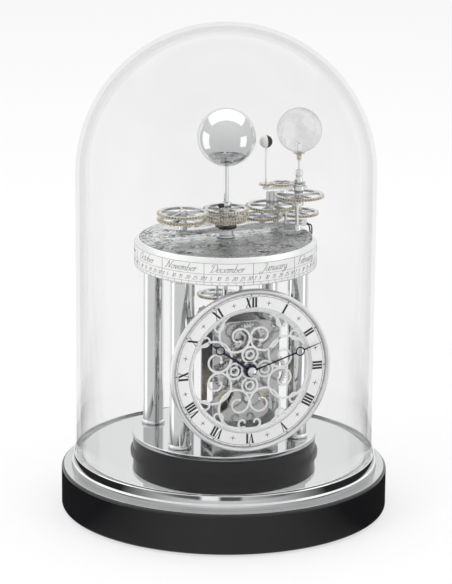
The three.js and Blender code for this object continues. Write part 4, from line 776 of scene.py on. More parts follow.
def lay_floor():
    """Pale for the eye, with the clock's shadow; in gloss painted reflections in dark and light
    bands and a painted shadow round the base.
    """
    n = Nodes("floor")
    rays = n.add("LightPath").outputs
    seen = seen_directly(n, rays)
    tone = n.math("MULTIPLY", n.spread(n.noise(3, 3.0), 0.985, 1.0),
                  n.spread(seen, FLOOR_COLOUR, FLOOR_SEEN, 0, 1))
    matt = n.add("BsdfDiffuse", {"Color": n.scaled((1, 1, 1), tone)}).outputs[0]

    def glow(strength):
        return n.add("Emission", {"Color": (1, 1, 1, 1), "Strength": strength}).outputs[0]

    lifted = glow(n.math("MULTIPLY", seen, FLOOR_LIFT))
    eye = n.add("AddShader", {0: matt, 1: lifted}).outputs[0]
    where = n.add("TexCoord").outputs["Object"]
    reach = n.vector("LENGTH", where, result="Value")
    unit = n.vector("NORMALIZE", where)
    front, side = n.dot(unit, *-AHEAD), n.dot(unit, *RIGHT)
    # Painted reflections: the glow that only gloss sees is in light and dark bands in front and
    # even behind
    bands = n.add("ValToRGB", {"Fac": n.spread(side, 0.0, 1.0, -1.0, 1.0)})
    stops = bands.color_ramp.elements
    while len(stops) < len(PAINTED_REFLECTION_BANDS):
        stops.new(0.5)
    for stop, (position, value) in zip(stops, PAINTED_REFLECTION_BANDS):
        stop.position, stop.color = position, (value, value, value, 1)
    far = n.spread(n.math("GREATER_THAN", front, 0.0), PAINTED_REFLECTION_BACK, bands.outputs[0], 0, 1)
    # Round the base the glow is painted shadow, lighter towards the front; beyond it, the painted
    # reflections
    table = n.spread(n.math("GREATER_THAN", reach, PAINTED_SHADE_REACH), n.spread(front, *PAINTED_SHADE_FRONT),
                     far, 0, 1)
    clear = n.add("BsdfTransparent").outputs[0]
    gloss = n.blend(n.spread(reach, 0.0, 1.0, *PAINTED_GLOW_REACH), glow(table), clear)
    mesh = bpy.data.meshes.new("floor")
    corners = box(-FLOOR_HALF, -FLOOR_HALF, FLOOR_HALF, FLOOR_HALF)
    mesh.from_pydata([(x, y, 0) for x, y in corners], [], [(0, 1, 2, 3)])
    mesh.materials.append(n.done(n.blend(rays["Is Glossy Ray"], eye, gloss)))
    floor = link(bpy.data.objects.new("floor", mesh))


class TELLURION_OT_stage(ClockOperator, bpy.types.Operator):
    """Sets the camera, the pale floor and the soft studio light"""
    bl_idname = "tellurion.stage"
    bl_label = "Stage"

    def build(self, sizes):
        place_camera()
        bpy.context.scene.view_settings.view_transform = "Standard"
        light_world()
        lay_floor()
        for lamp in LAMPS:
            hang_lamp(*lamp)


# Base, plinth, dome and columns

GROOVE_OUTER, GROOVE_INNER, GROOVE_FLOOR = 110, 104.8, 39.4


class TELLURION_OT_base(ClockOperator, bpy.types.Operator):
    """Turns the felt pad, the lacquered base, the polished plate and the plinth"""
    bl_idname = "tellurion.base"
    bl_label = "Base and plinth"

    def build(self, sizes):
        felt, base, rim = (radius_of(n) for n in ("felt_pad", "base_disc", "base_plate"))
        shape = Shape().turned(box(0, 0, felt, FELT), 0.5, 3, 96)
        dress("felt_pad", "turned", shape, "felt")

        shape = Shape().turned([(0, FELT), (base - 1.2, FELT), (base, FELT + 1.4),
                                (base, BASE_TOP - 1.2), (base - 1.2, BASE_TOP), (0, BASE_TOP)],
                               1.0, 5, 192)
        # A thin polished ring lies on the lacquer round the plate
        ring = box(rim + 0.05, BASE_TOP - 0.1, base - 1.7, BASE_TOP + 0.45)
        shape.turned(ring, 0.2, 2, 192, 1)
        make("base_turned", shape, "lacquer ledge", ["base_disc"])

        high, inset = heights_of("base_plate")[1], rim - 1.15
        shape = Shape().turned([
            (0, BASE_TOP), (rim, BASE_TOP), (rim, BASE_TOP + 4.3), (inset, BASE_TOP + 4.6),
            (inset, high), (GROOVE_OUTER, high), (GROOVE_OUTER, GROOVE_FLOOR),
            (GROOVE_INNER, GROOVE_FLOOR), (GROOVE_INNER, SURFACE), (0, SURFACE)], 0.4, 3, 192)
        dress("base_plate", "turned", shape, "polished_plate")

        plate, lip = radius_of("plinth_plate"), radius_of("plinth_drum")
        drum, low = plate - 0.4, heights_of("plinth_plate")[0]
        shape = Shape().turned([(0, SURFACE), (lip, SURFACE), (lip, SURFACE + 1.6),
                                (drum, SURFACE + 1.9), (drum, low), (0, low)], 0.3, 3, 160)
        dress("plinth_drum", "turned", shape, "lacquer")
        shape = Shape().turned([(0, low), (plate, low), (plate, PLINTH_TOP - 0.3),
                                (plate - 0.3, PLINTH_TOP), (0, PLINTH_TOP)], 0.2, 3, 160)
        dress("plinth_plate", "turned", shape, "polished_plate")


GLASS_WALL = 3.0


class TELLURION_OT_dome(ClockOperator, bpy.types.Operator):
    """Blows the clear glass dome"""
    bl_idname = "tellurion.dome"
    bl_label = "Glass dome"

    def build(self, sizes):
        low, high = heights_of("glass_dome")
        outer = radius_of("glass_dome")
        inner, centre = outer - GLASS_WALL, high - outer
        profile = [(inner, low + 0.7), (inner + 0.8, low), (outer - 0.8, low), (outer, low + 0.7)]
        profile += quarter(outer, outer, centre, 36) + [(0, high), (0, high - GLASS_WALL)]
        profile += reversed(quarter(inner, inner, centre, 36))
        make("dome_blown", Shape().lathe(profile, 144), "clear_glass", ["glass_dome"],
             sharp=60)


class TELLURION_OT_columns(ClockOperator, bpy.types.Operator):
    """Turns the four chrome columns with their feet, and the two slim rods behind the movement"""
    bl_idname = "tellurion.columns"
    bl_label = "Columns"

    def build(self, sizes):
        r = sizes.column_radius / MM
        low, high = PLINTH_TOP, SUPPORT_BOTTOM
        bead = [polar(1.0, TURN / 2 * k / 8 - TURN / 4) for k in range(9)]
        profile = [(0, low)] + [(r + 0.05 + 1.2 * x, low + 1.3 + 1.28 * y) for x, y in bead]
        profile += [(r, low + 2.9), (r, low + 3.1), (r, high - 2.2), (r - 0.5, high - 1.9),
                    (r - 0.5, high - 1.2), (r, high - 0.9), (r, high), (0, high)]
        for place in ("front_left", "front_right", "rear_left", "rear_right"):
            node = "column_" + place
            x, y = middle_of(node)
            dress(node, "turned", Shape().lathe(profile, 72, x=x, y=y), "chrome")
        for node in ("tie_rod_left", "tie_rod_right"):
            x, y = middle_of(node)
            dress(node, "turned", Shape().rod(1.8, low, high, x=x, y=y), "chrome")


# Calendar: its own pen letters. Each one is how far it moves the pen on, then its strokes as
# points (across, up), all in hundredths of a small letter's height; a slash lifts the pen.

PEN = {
    "a": (95, "62 80  38 100  8 70  5 25  28 0  55 30  66 100 / 66 100  62 20  78 0  95 20"),
    "b": (80, "12 195  8 60  12 10  40 0  65 35  55 85  30 90  10 60"),
    "c": (70, "60 80  40 100  10 75  5 30  30 0  70 20"),
    "e": (72, "8 45  45 55  58 85  38 100  10 70  8 25  32 0  72 25"),
    "g": (90, "62 85  35 100  5 60  15 10  45 10  64 70 / 66 100  62 -30  40 -85  5 -60  90 20"),
    "h": (85, "10 195  8 0 / 10 60  35 100  55 85  55 20  70 0  85 20"),
    "i": (42, "10 100  8 20  22 0  42 20 / 14 142  20 150"),
    "l": (42, "12 195  8 20  22 0  42 20"),
    "m": (120, "0 80  12 100  12 0 / 12 60  35 100  50 80  50 0 / "
               "50 60  75 100  90 80  90 20  105 0  120 20"),
    "n": (85, "0 80  12 100  12 0 / 12 60  38 100  55 80  55 20  70 0  85 20"),
    "o": (78, "35 100  6 70  6 25  32 0  60 35  58 80  35 100  78 85"),
    "p": (75, "10 100  6 -90 / 10 60  38 100  62 70  55 15  30 0  8 20"),
    "r": (60, "0 80  15 100  12 0 / 14 60  35 95  60 90"),
    "s": (60, "50 85  30 100  10 80  45 30  35 5  2 10"),
    "t": (48, "20 150  12 20  28 0  48 15 / 0 100  42 105"),
    "u": (85, "8 100  8 20  25 0  50 30  56 100 / 56 100  54 20  70 0  85 20"),
    "v": (72, "2 85  15 100  30 0  60 90  72 95"),
    "y": (85, "6 100  10 30  30 5  55 40  60 100 / 60 100  56 -30  35 -85  5 -60  85 20"),
    "A": (120, "0 10  30 20  90 195 / 90 195  95 10  115 5 / 35 70  95 75"),
    "D": (130, "40 175  35 25  10 5  50 0  115 50  105 160  50 200  -5 175  10 140"),
    "F": (120, "50 180  45 20  10 0 / 5 160  40 200  90 188  130 205 / 40 100  95 105"),
    "J": (115, "20 175  60 200  95 185  80 30  50 -60  5 -50  30 0"),
    "M": (155, "0 10  25 30  35 190 / 35 190  70 10 / 70 10  120 190 / 120 190  120 20  145 0"),
    "N": (140, "0 20  22 15  35 190 / 35 190  95 5 / 95 5  112 170  145 200"),
    "O": (125, "70 200  15 140  10 50  50 0  105 60  105 150  70 200  45 160"),
    "S": (105, "100 160  70 200  40 160  75 90  60 10  15 0  5 40"),
    "0": (80, "35 160  5 110  8 40  30 0  60 50  58 120  35 160"),
    "1": (55, "10 125  35 160  30 0"),
    "2": (80, "8 120  35 160  60 120  5 5  65 10"),
    "3": (80, "10 150  60 150  30 95  60 50  30 0  2 15"),
    "5": (80, "65 155  20 155  12 95  50 90  55 30  25 0  0 15"),
}
PEN_SLANT, PEN_WIDTH = 0.5, 1.28
MONTHS = {"January": 31, "February": 28, "March": 31, "April": 30, "May": 31, "June": 30,
          "July": 31, "August": 31, "September": 30, "October": 31, "November": 30,
          "December": 31}
DAYS = 365
YEAR_START = math.radians(17.4) - CAMERA_AZIMUTH - TURN / 4
BAND_LOW = 184.0                  # height of the band's foot
BAND_TALL = 16.4
RULES = (0.5, 2.5, 8.3, 16.1)     # heights of the printed rules above it
RULE_WIDE = 0.17
MONTH_HIGH, MONTH_WEIGHT = 9.9, 0.31
DATE_HIGH, DATE_SIZE, DATE_WEIGHT = 3.9, 1.75, 0.25
DATE_ASIDE = {1: 0.2, 30: -1.2}   # keeps the first and last date off the month's own line
PRINT = 0.05                      # how far print stands proud
SUNK = 0.01                       # how far it reaches into what it is printed on


def on_band(spot):
    """From (distance round the band, height, lift) to the clock's frame."""
    along, height, lift = spot
    x, y = polar(CALENDAR_RADIUS + lift, along / CALENDAR_RADIUS)
    return (x, y, BAND_LOW + height)


def strokes_of(letter):
    """How far a letter moves the pen on, and its strokes, in heights of a small letter."""
    advance, text = PEN[letter]
    strokes = []
    for stroke in text.split("/"):
        numbers = [int(word) / 100 for word in stroke.split()]
        strokes.append(list(zip(numbers[::2], numbers[1::2])))
    return advance / 100, strokes


def write_on(shape, words, along, height, size, weight):
    """Pen lettering: strokes are heavy where they run down and light where they run across."""
    wide = size * PEN_WIDTH
    letters = [strokes_of(letter) for letter in words]
    pen = along - sum(advance for advance, _ in letters) * wide / 2
    for advance, strokes in letters:
        for stroke in strokes:
            path = smooth_path([(pen + wide * x + size * PEN_SLANT * y, height + size * y)
                                for x, y in stroke], 4)
            widths = []
            for i in range(len(path)):
                behind, ahead = neighbours(path, i)
                steep = abs(ahead.y - behind.y) / (math.dist(ahead, behind) + 1e-9)
                widths.append(weight * (0.55 + 0.75 * steep ** 2))
            shape.ribbon(path, widths, 0, PRINT, 0, 0.01, on_band)
        pen += advance * wide


class TELLURION_OT_calendar(ClockOperator, bpy.types.Operator):
    """Turns the calendar ring and prints its months and dates"""
    bl_idname = "tellurion.calendar"
    bl_label = "Calendar"

    def build(self, sizes):
        radius, star = CALENDAR_RADIUS, radius_of("star_plate") + 0.3
        inner = star - 2
        profile = rounded([
            (inner, BAND_LOW), (radius - 0.3, BAND_LOW), (radius, BAND_LOW + 0.3),
            (radius, BAND_LOW + BAND_TALL), (radius - 2.9, STAR_TOP - 0.1), (star, STAR_TOP),
            (star, STAR_TOP - 2), (inner, STAR_TOP - 2)], 0.35, 3)
        # Only the upright band is silvered; the rest is satin
        bands = [int(max(a[0], b[0]) > radius - 0.02 and min(a[1], b[1]) < BAND_LOW + 16)
                 for a, b in zip(profile, profile[1:] + profile[:1])]
        shape = Shape().lathe(profile, 192, bands=bands)
        make("calendar_turned", shape, "satin_rim silvered", ["calendar_ring"])

        shape = Shape()
        for height in RULES:
            foot = BAND_LOW + height
            shape.lathe(box(radius - 0.02, foot, radius + PRINT, foot + RULE_WIDE), 192)

        def line(along, top, width):
            path = [(along, RULES[0]), (along, top)]
            shape.ribbon(path, width, 0, PRINT, 0, 0.01, on_band)

        day_step, start = TURN * radius / DAYS, YEAR_START * radius
        for month, days in MONTHS.items():
            length = days * day_step
            line(start, RULES[3], 0.26)
            for day in (5, 10, 15, 20, 25):
                line(start + day * day_step, RULES[1], 0.22)
            write_on(shape, month, start + length * 0.5 - 1.6, MONTH_HIGH,
                     sizes.letter_height / MM, MONTH_WEIGHT)
            for day in (1, 5, 10, 15, 20, 25, 30):
                if day <= days:
                    spot = start + (day - 0.5) * day_step + DATE_ASIDE.get(day, -0.6)
                    write_on(shape, str(day), spot, DATE_HIGH, DATE_SIZE, DATE_WEIGHT)
            start += length
        make("calendar_print", shape, "pen_ink", body="clock")


CHART_RADII = (13.0, 27.0, 41.0, 55.5, 58.0)     # the engraved circles inside the outer one
HOUR_LINES, MARKS = 24, 120


class TELLURION_OT_star_plate(ClockOperator, bpy.types.Operator):
    """Turns the support plate, the centre tube and the star plate, and engraves a star chart"""
    bl_idname = "tellurion.star_plate"
    bl_label = "Star plate"

    def build(self, sizes):
        holes = [circle(3.7, 32), circle(1.4, 20, 0, 18)]
        shape = Shape().plate([circle(radius_of("support_plate"), 128)] + holes,
                              SUPPORT_BOTTOM, SUPPORT_TOP)
        make("support_turned", shape, "polished_plate", ["support_plate"])

        outer = radius_of("star_plate")
        shape = Shape().turned(box(3.7, STAR_TOP - 2, outer, STAR_TOP), 0.2, 2, 160)
        dress("star_plate", "turned", shape, "engraved")

        low, top = SUPPORT_BOTTOM, heights_of("centre_tube")[1]
        shape = Shape().turned([(2.3, low - 3), (7, low - 3), (7, low), (3.4, low), (3.4, top),
                                (2.3, top)], 0.3, 2, 40)
        dress("centre_tube", "turned", shape, "chrome")
        self.engrave(sizes.stars, outer - 1.2)

    def engrave(self, count, edge):
        """Circles, hour lines, scattered stars and the lines that join near ones."""
        draw = random.Random(11)
        shape = Shape()
        low, high = STAR_TOP - SUNK, STAR_TOP + PRINT

        def line(path, width):
            shape.ribbon(path, width, low, high, 0, 0.01)

        for radius in (*CHART_RADII, edge):
            shape.lathe(box(radius, low, radius + 0.22, high), 128)
        line([polar(34, TURN * k / 96, 9, 4) for k in range(97)], 0.3)
        for hour in range(HOUR_LINES):
            angle = TURN * hour / HOUR_LINES
            line([polar(13.2, angle), polar(55.5, angle)], 0.14)
        for mark in range(MARKS):
            angle = TURN * mark / MARKS
            line([polar(58.2, angle), polar(edge if mark % 5 == 0 else 59.8, angle)], 0.16)
        stars = []
        while len(stars) < count:
            spot = polar(54 * math.sqrt(draw.uniform(0.07, 1)), draw.uniform(0, TURN))
            if all(math.dist(spot, other) > 2.6 for other in stars):
                stars.append(spot)
        for index, star in enumerate(stars):
            size = draw.uniform(0.3, 0.75)
            shape.plate([[polar(size * (1, 0.4)[k % 2], TURN * k / 10, *star)
                          for k in range(10)]], low, high)
            near = sorted(stars, key=lambda other: math.dist(other, star))[1:3]
            for other in near:
                if index % 2 == 0 and math.dist(other, star) < 9:
                    line([star, other], 0.2)
        make("star_chart_lines", shape, "fine_ink", body="clock")


# Dial

NUMERALS = ("XII", "I", "II", "III", "IIII", "V", "VI", "VII", "VIII", "IX", "X", "XI")
NUMERAL_FOOT, NUMERAL_TALL = 47.1, 7.4
THICK, THIN, SERIF = 1.5, 0.48, 0.3
LETTER_WIDE = {"V": 4.3, "X": 4.6}
LETTER_GAP = 0.12
TRACK = (55.3, 56.5)          # the two circles of the minute track
TRACK_WIDE = 0.24
STAR_REACH = (2.3, 0.38)      # points and waist of the small star between two hours
STAR_RADIUS = 50.9


def numeral_bars(word):
    """The printed bars of a Roman numeral, as outlines, and its width."""
    outlines, x = [], 0.0

    def bar(low, high, *corners):
        """A bar from the two corners at its foot to the two at its top."""
        a, b, c, d = (x + corner for corner in corners)
        outlines.append([(a, low), (b, low), (c, high), (d, high)])

    def serif(left, right, lows=(0, NUMERAL_TALL - SERIF)):
        for low in lows:
            bar(low, low + SERIF, left, right, right, left)

    for letter in word:
        if letter == "I":
            bar(0, NUMERAL_TALL, 0.3, 0.3 + THICK, 0.3 + THICK, 0.3)
            serif(0, THICK + 0.6)
            x += THICK + 0.6 + LETTER_GAP
            continue
        wide = LETTER_WIDE[letter]
        if letter == "V":
            foot = wide / 2
            bar(0, NUMERAL_TALL, foot - 0.25, foot + 0.45, THICK + 0.35, 0.35)
            bar(0, NUMERAL_TALL, foot - 0.1, foot + 0.35, wide - 0.3, wide - 0.3 - THIN)
            serif(0, 2.1, [NUMERAL_TALL - SERIF])
            serif(wide - 1.3, wide + 0.1, [NUMERAL_TALL - SERIF])
        else:
            bar(0, NUMERAL_TALL, wide - THICK - 0.3, wide - 0.3, THICK + 0.3, 0.3)
            bar(0, NUMERAL_TALL, 0.3, 0.3 + THIN, wide - 0.3, wide - 0.3 - THIN)
            serif(0, 1.7)
            serif(wide - 2.0, wide)
        x += wide + LETTER_GAP
    return outlines, x - LETTER_GAP


def on_dial(across, out, hour):
    """A spot beside an hour's line: across is to the right of it, out is from the centre."""
    angle = TURN * hour / 12
    c, s = math.cos(angle), math.sin(angle)
    return (out * s + across * c, out * c - across * s)


class TELLURION_OT_dial(ClockOperator, bpy.types.Operator):
    """Turns the bezel and the chapter ring, prints the numerals and saws the pierced centre"""
    bl_idname = "tellurion.dial"
    bl_label = "Dial"

    def build(self, sizes):
        back, front = BEZEL_BACK, BEZEL_FRONT
        if abs(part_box("dial_bezel")[1].y / MM + back) > 0.01:
            raise RuntimeError("the bezel isn't where the dial is made for")
        shape = Shape().turned([
            (55.1, back), (59.8, back), (60.5, back + 0.7), (60.5, front - 1.6),
            (59.6, front - 0.3), (58.6, front), (57.35, CHAPTER_FRONT + 0.3),
            (57.3, CHAPTER_FRONT - 1.5), (55.1, CHAPTER_FRONT - 1.5)], 0.6, 4, 192)
        make("bezel_turned", shape, "satin_rim", ["dial_bezel"], DIAL)
        shape = Shape().turned(box(45.4, CHAPTER_BACK, 57, CHAPTER_FRONT), 0.2, 2, 192)
        dress("chapter_ring", "turned", shape, "silvered", DIAL)
        # The polished inner lip of the chapter ring
        low, high = CHAPTER_FRONT - 0.02, CHAPTER_FRONT + 0.16
        shape = Shape().turned([(45.42, low), (46.4, low), (46.2, high), (45.5, high)],
                               0.06, 2, 160)
        make("chapter_lip", shape, "satin_rim", place=DIAL, body="clock")
        self.print_dial()
        self.saw_sheet(sizes.wire_width / MM)

    def print_dial(self):
        low, high = CHAPTER_FRONT - SUNK, CHAPTER_FRONT + PRINT
        bold, fine = Shape(), Shape()
        for hour, word in enumerate(NUMERALS):
            outlines, width = numeral_bars(word)
            for outline in outlines:
                bold.plate([[on_dial(x - width / 2, NUMERAL_FOOT + y, hour)
                             for x, y in outline]], low, high)
        for radius in TRACK:
            fine.lathe(box(radius, low, radius + TRACK_WIDE, high), 160)
        for minute in range(60):
            wide, longer = (0.8, 0.3) if minute % 5 == 0 else (TRACK_WIDE, 0)
            mark = box(-wide / 2, TRACK[0], wide / 2, TRACK[1] + longer)
            fine.plate([[on_dial(x, y, minute / 5) for x, y in mark]], low, high)
        for hour in range(12):
            star = [polar(STAR_REACH[k % 2], TURN / 4 - TURN * k / 8, 0, STAR_RADIUS)
                    for k in range(8)]
            fine.plate([[on_dial(x, y, hour + 0.5) for x, y in star]], low, high)
        fine.lathe(box(46.55, low, 46.7, high), 160)
        make("dial_numerals", bold, "ink", place=DIAL, body="clock")
        make("dial_tracks", fine, "pen_ink", place=DIAL, body="clock")

    def saw_sheet(self, width):
        """Four pairs of scrolls, rings between them and small curls at the foot."""
        shape = Shape()
        low, high = SHEET_BACK, SHEET_FRONT
        self.lift = 0

        def curl(eye, start, end, angle, sweep, steps, turn, bead=0.0):
            """A tapering spiral about its eye, in millimetres and degrees."""
            path = []
            for k in range(steps + 1):
                part = k / steps
                path.append(polar(start * (end / start) ** part,
                                  math.radians(angle + sweep * part), *eye))
            path = swung(turn, path)
            widths = [width * (1.0 - 0.25 * k / steps) for k in range(steps + 1)]
            # Curls that cross lie at slightly different heights, so that no two faces coincide
            self.lift = (self.lift + 1) % 5
            shape.ribbon(path, widths, low, high - 0.02 * self.lift, 0, 0.3)
            if bead:
                shape.turned(box(0, low, bead, high), 0.3, 2, 20, 0, *path[-1])

        for lobe in range(4):
            turn = TURN * lobe / 4
            for hand in (1, -1):
                curl((hand * 8.6, 25), 17.6, 3.3, 90 - hand * 25, hand * -530, 72, turn, 1.15)
                # A leaf springs from each scroll towards the rim
                curl((hand * 24.6, 33.6), 5.2, 2.0, 90 + hand * 40, hand * 250, 24, turn, 0.8)
            curl((0, 11.5), 5.8, 5.8, 90, 360, 36, turn)
            curl((0, 11.5), 2.9, 2.9, 90, 360, 24, turn)
        for hand in (1, -1):
            curl((hand * 5, 39.4), 4.6, 1.6, 90 + hand * 10, hand * -270, 28, math.pi, 0.8)
        shape.turned(box(5.2, low, 6.7, high), 0.25, 2, 48)
        shape.turned([(43, low), (47, low), (47, high - 0.05), (44.4, high - 0.05),
                      (43.4, high - 0.3)], 0.15, 2, 160)
        make("filigree_sawn", shape, "filigree", ["dial_centre"], DIAL)


HAND_THICK = 0.6
HAND_RING = 3.5               # radius of the ring near a hand's end
CAP_LOW, CAP_RADIUS = 60.1, 3.4


class TELLURION_OT_hands(ClockOperator, bpy.types.Operator):
    """Files the blued hands and turns the cap over them"""
    bl_idname = "tellurion.hands"
    bl_label = "Hands"

    def hand(self, node, angle, low, length, eye, boss, bore, foot):
        """A tapered blade with a raised ridge, a ring near its end and a boss on its pipe."""
        high, ring = low + HAND_THICK, HAND_RING
        shape = Shape()

        def blade(stations):
            sections = []
            for along, half in stations:
                ridge = half * 0.3
                section = ((-half, low + 0.05), (-half, low + 0.3), (-ridge, high - 0.02),
                           (ridge, high - 0.02), (half, low + 0.3), (half, low + 0.05))
                spots = swung(angle, [(across, along) for across, _ in section])
                sections.append([(*spot, height) for spot, (_, height) in zip(spots, section)])
            shape.loft(sections)

        blade([(boss * 0.9, foot), (boss + 2.5, foot * 0.72), (boss + 7, foot * 0.55),
               (eye - 10, foot * 0.5), (eye - ring - 1.5, foot * 0.58),
               (eye - ring + 0.5, foot * 0.8)])
        blade([(eye + ring - 0.5, foot * 0.7), (eye + ring + 1.2, foot * 0.5),
               (length - 2, 0.22), (length, 0.06)])
        spot = swung(angle, [(0, eye)])[0]
        shape.turned(box(ring - 0.95, low, ring, high), 0.28, 3, 48, 0, *spot)
        shape.turned(box(bore, low, boss, high), 0.2, 3, 48)
        dress(node, "filed", shape, "blued", DIAL)

    def build(self, sizes):
        hour, minute = -TURN * 10.2 / 12, -TURN * 0.2
        self.hand("hour_hand", hour, 58.2, 40.8, 29, 4.8, 3.0, 1.35)
        self.hand("minute_hand", minute, 59.4, 55.5, 38.8, 4.0, 1.8, 1.0)
        step = CAP_LOW + 0.9
        cap = [(0, CAP_LOW), (CAP_RADIUS, CAP_LOW), (CAP_RADIUS, step)]
        cap += quarter(CAP_RADIUS, 1.6, step, 8, 1) + [(0, step + 1.6)]
        dress("hand_cap", "turned", Shape().lathe(cap, 48), "chrome", DIAL)


# Going train behind the dial: where its arbors stand in the dial's plane

BARREL = (0, -24)
THIRD = (16.914, -6.156)
ESCAPE = (16.914, 10.844)
BALANCE = (-12.5, 13.5)
TRANSFER = (0, 22.4)
MINUTE_POST = polar(14, math.radians(200))
PLATE_HOLES = ((0, 0, 1.8), (*BARREL, 2.5), (*THIRD, 1.4), (*ESCAPE, 1.4), (*TRANSFER, 1.4),
               (*BALANCE, 1.4))
PLATE_THICK = 2.2
PLATES = {"front_plate": 46.0, "back_plate": 20.0}      # heights of their back faces
PLATE_OUTLINE = ((-25, -61), (-13, -61), (-9, -53), (9, -53), (13, -61), (25, -61), (25, 28),
                 (19, 34), (-19, 34), (-25, 28))
PLATE_WINDOWS = (((-14, -46), (14, -46), (9, -40), (-9, -40)),
                 ((9, -17), (21, -17), (21, -34), (14, -30)),
                 ((-9, -17), (-21, -17), (-21, -34), (-14, -30)))
PILLARS = ((21, 30), (-21, 30), (21, -55), (-21, -55))
BEZEL_POSTS = (-113, -67, 53, 127)                      # their turns, in degrees
ARBOR = (20.3, 47.9)                                    # from one plate's bush to the other's


class TELLURION_OT_movement(ClockOperator, bpy.types.Operator):
    """Saws the movement's plates and cuts the wheels between them"""
    bl_idname = "tellurion.movement"
    bl_label = "Movement"

    def plate(self, node, low):
        high = low + PLATE_THICK
        loops = [rounded(PLATE_OUTLINE, 1.5, 3)]
        loops += [rounded(window, 1.2, 3) for window in PLATE_WINDOWS]
        loops += [circle(r, 24, x, y) for x, y, r in PLATE_HOLES]
        shape = Shape().plate(loops, low, high)
        for x, y, r in PLATE_HOLES[2:]:
            shape.tube(r, r + 0.9, high - 0.2, high + 0.25, BRASS, x, y, 0.08)
        if node == "front_plate":
            self.front_fittings(shape, low, high)
        else:
            self.pillars(shape, low, high)
        dress(node, "sawn", shape, "plate_steel brass chrome black_screw", DIAL)

    def front_fittings(self, shape, low, high):
        """The minute wheel's post, the four posts of the bezel and the pillars' screws."""
        shape.rod(1.1, high - 0.1, high + 4.2, STEEL, *MINUTE_POST)
        for angle in BEZEL_POSTS:
            x, y = polar(57.4, math.radians(angle))
            if y > 0:
                side = math.copysign(1, x)
                horn = [(x - side * 2.5, y + 2.5), (x + side * 2.5, y - 2.5), (side * 25, 26),
                        (side * 17, 32)]
                shape.plate([horn], low + 0.02, high - 0.02)
            shape.rod(1.45, low + 0.5, BEZEL_BACK, STEEL, x, y)
        for x, y in PILLARS:
            shape.screw(2.3, high - 0.02, x, y, CHROME, BLACK, 0.4 + x)

    def pillars(self, shape, low, high):
        end = PLATES["front_plate"]
        profile = [(0, high - 0.1), (3.2, high - 0.1), (3.2, high + 0.8), (2.4, high + 1.4),
                   (2.4, end - 1.6), (3.1, end - 1), (3.1, end), (0, end)]
        for x, y in PILLARS:
            shape.turned(profile, 0.2, 2, 32, STEEL, x, y)
            shape.screw(2.3, low - 1.55, x, y, CHROME, BLACK, 0.9 + x)

    def wheel(self, node, post, rim, arbor=None, collar=None, pinions=(), leaves=CHROME):
        """A spoked wheel: rim is (teeth, low, high, bore, spokes, hub, rim, spoke), arbor is
        (radius, low, high), collar is (inner, outer, low, high) and a pinion is
        (teeth, low, high, bore)."""
        teeth, low, high, *form = rim
        shape = Shape().gear(node, teeth, low, high, DIAL, post, *form)
        if arbor:
            shape.rod(*arbor, CHROME, *post)
        if collar:
            shape.tube(*collar, CHROME, *post)
        for teeth, low, high, bore in pinions:
            shape.pinion(node, teeth, low, high, DIAL, post, bore, leaves)
        dress(node, "cut", shape, TRAIN, DIAL)

    def build(self, sizes):
        for node, low in PLATES.items():
            self.plate(node, low)
        self.barrel()
        self.wheel("centre_wheel", (0, 0), (48, 24.0, 25.8, 1.0, 5, 4.0, 1.9, 1.8),
                   (1.5, ARBOR[0], 60.0), (1.4, 4.0, 25.7, 27.0),
                   [(8, 38.0, 41.0, 1.0), (10, 49.0, 50.6, 1.0)])
        self.wheel("third_wheel", THIRD, (45, 42.4, 44.2, 0.7, 5, 3.0), (1.1, *ARBOR),
                   (1.0, 2.8, 41.4, 42.5), [(6, 23.4, 26.4, 0.7)])
        self.escape_wheel()
        self.balance()
        self.wheel("minute_wheel", MINUTE_POST, (30, 49.0, 50.6, 1.4, 4, 3.2, 1.6),
                   pinions=[(8, 50.5, 52.8, 1.4)])
        self.wheel("hour_wheel", (0, 0), (32, 51.2, 52.6, 1.8, 5, 4.0),
                   collar=(1.8, 2.7, 51.2, 58.8))
        self.wheel("transfer_wheel", TRANSFER, (32, 51.2, 52.6, 0.9, 5, 3.4),
                   (1.1, 14.5, 52.55), (1.0, 3.2, 49.9, 51.3), [(12, 14.5, 17.5, 0.9)], BRASS)

    def barrel(self):
        shape = Shape().gear("barrel", 40, 38.6, 40.4, DIAL, BARREL, 2.0, finish=BRASS)
        shape.turned([(0, 28.2), (17, 28.2), (17.5, 28.7), (17.5, 38.65), (0, 38.65)], 0.4, 3,
                     96, BRASS, *BARREL)
        shape.rod(2.2, *ARBOR, CHROME, *BARREL)
        shape.turned([(2.2, 40.35), (12.5, 40.35), (12.0, 41.1), (2.2, 41.1)], 0.2, 2, 64,
                     CHROME, *BARREL)
        for k in range(3):
            shape.screw(1.2, 41.05, *polar(8, TURN * k / 3 + 0.5, *BARREL), BLACK, CHROME, 0.6)
        dress("barrel", "cut", shape, TRAIN, DIAL)

    def escape_wheel(self):
        teeth, low, high = 15, 30, 31
        tip, phase = teeth_of("escape_wheel", teeth, low, high, DIAL, *ESCAPE)
        outline = []
        for i in range(teeth):
            for depth, share in ((0, 0.0), (0.5, 0.1), (1.6, 0.3), (1.9, 0.55), (1.4, 0.8)):
                outline.append(polar(tip - depth, phase + TURN * (i + share) / teeth, *ESCAPE))
        windows = []
        for i in range(4):
            middle = phase + TURN * (i + 0.5) / 4
            windows.append([polar(4.4, middle + a, *ESCAPE) for a in (0.55, 0.3, 0, -0.3, -0.55)]
                           + [polar(2.2, middle + a, *ESCAPE) for a in (-0.35, 0, 0.35)])
        shape = Shape().plate([outline] + windows, low, high, BRASS)
        shape.rod(1.1, *ARBOR, CHROME, *ESCAPE)
        shape.pinion("escape_wheel", 6, 41.8, 44.8, DIAL, ESCAPE, 0.7)
        dress("escape_wheel", "cut", shape, TRAIN, DIAL)

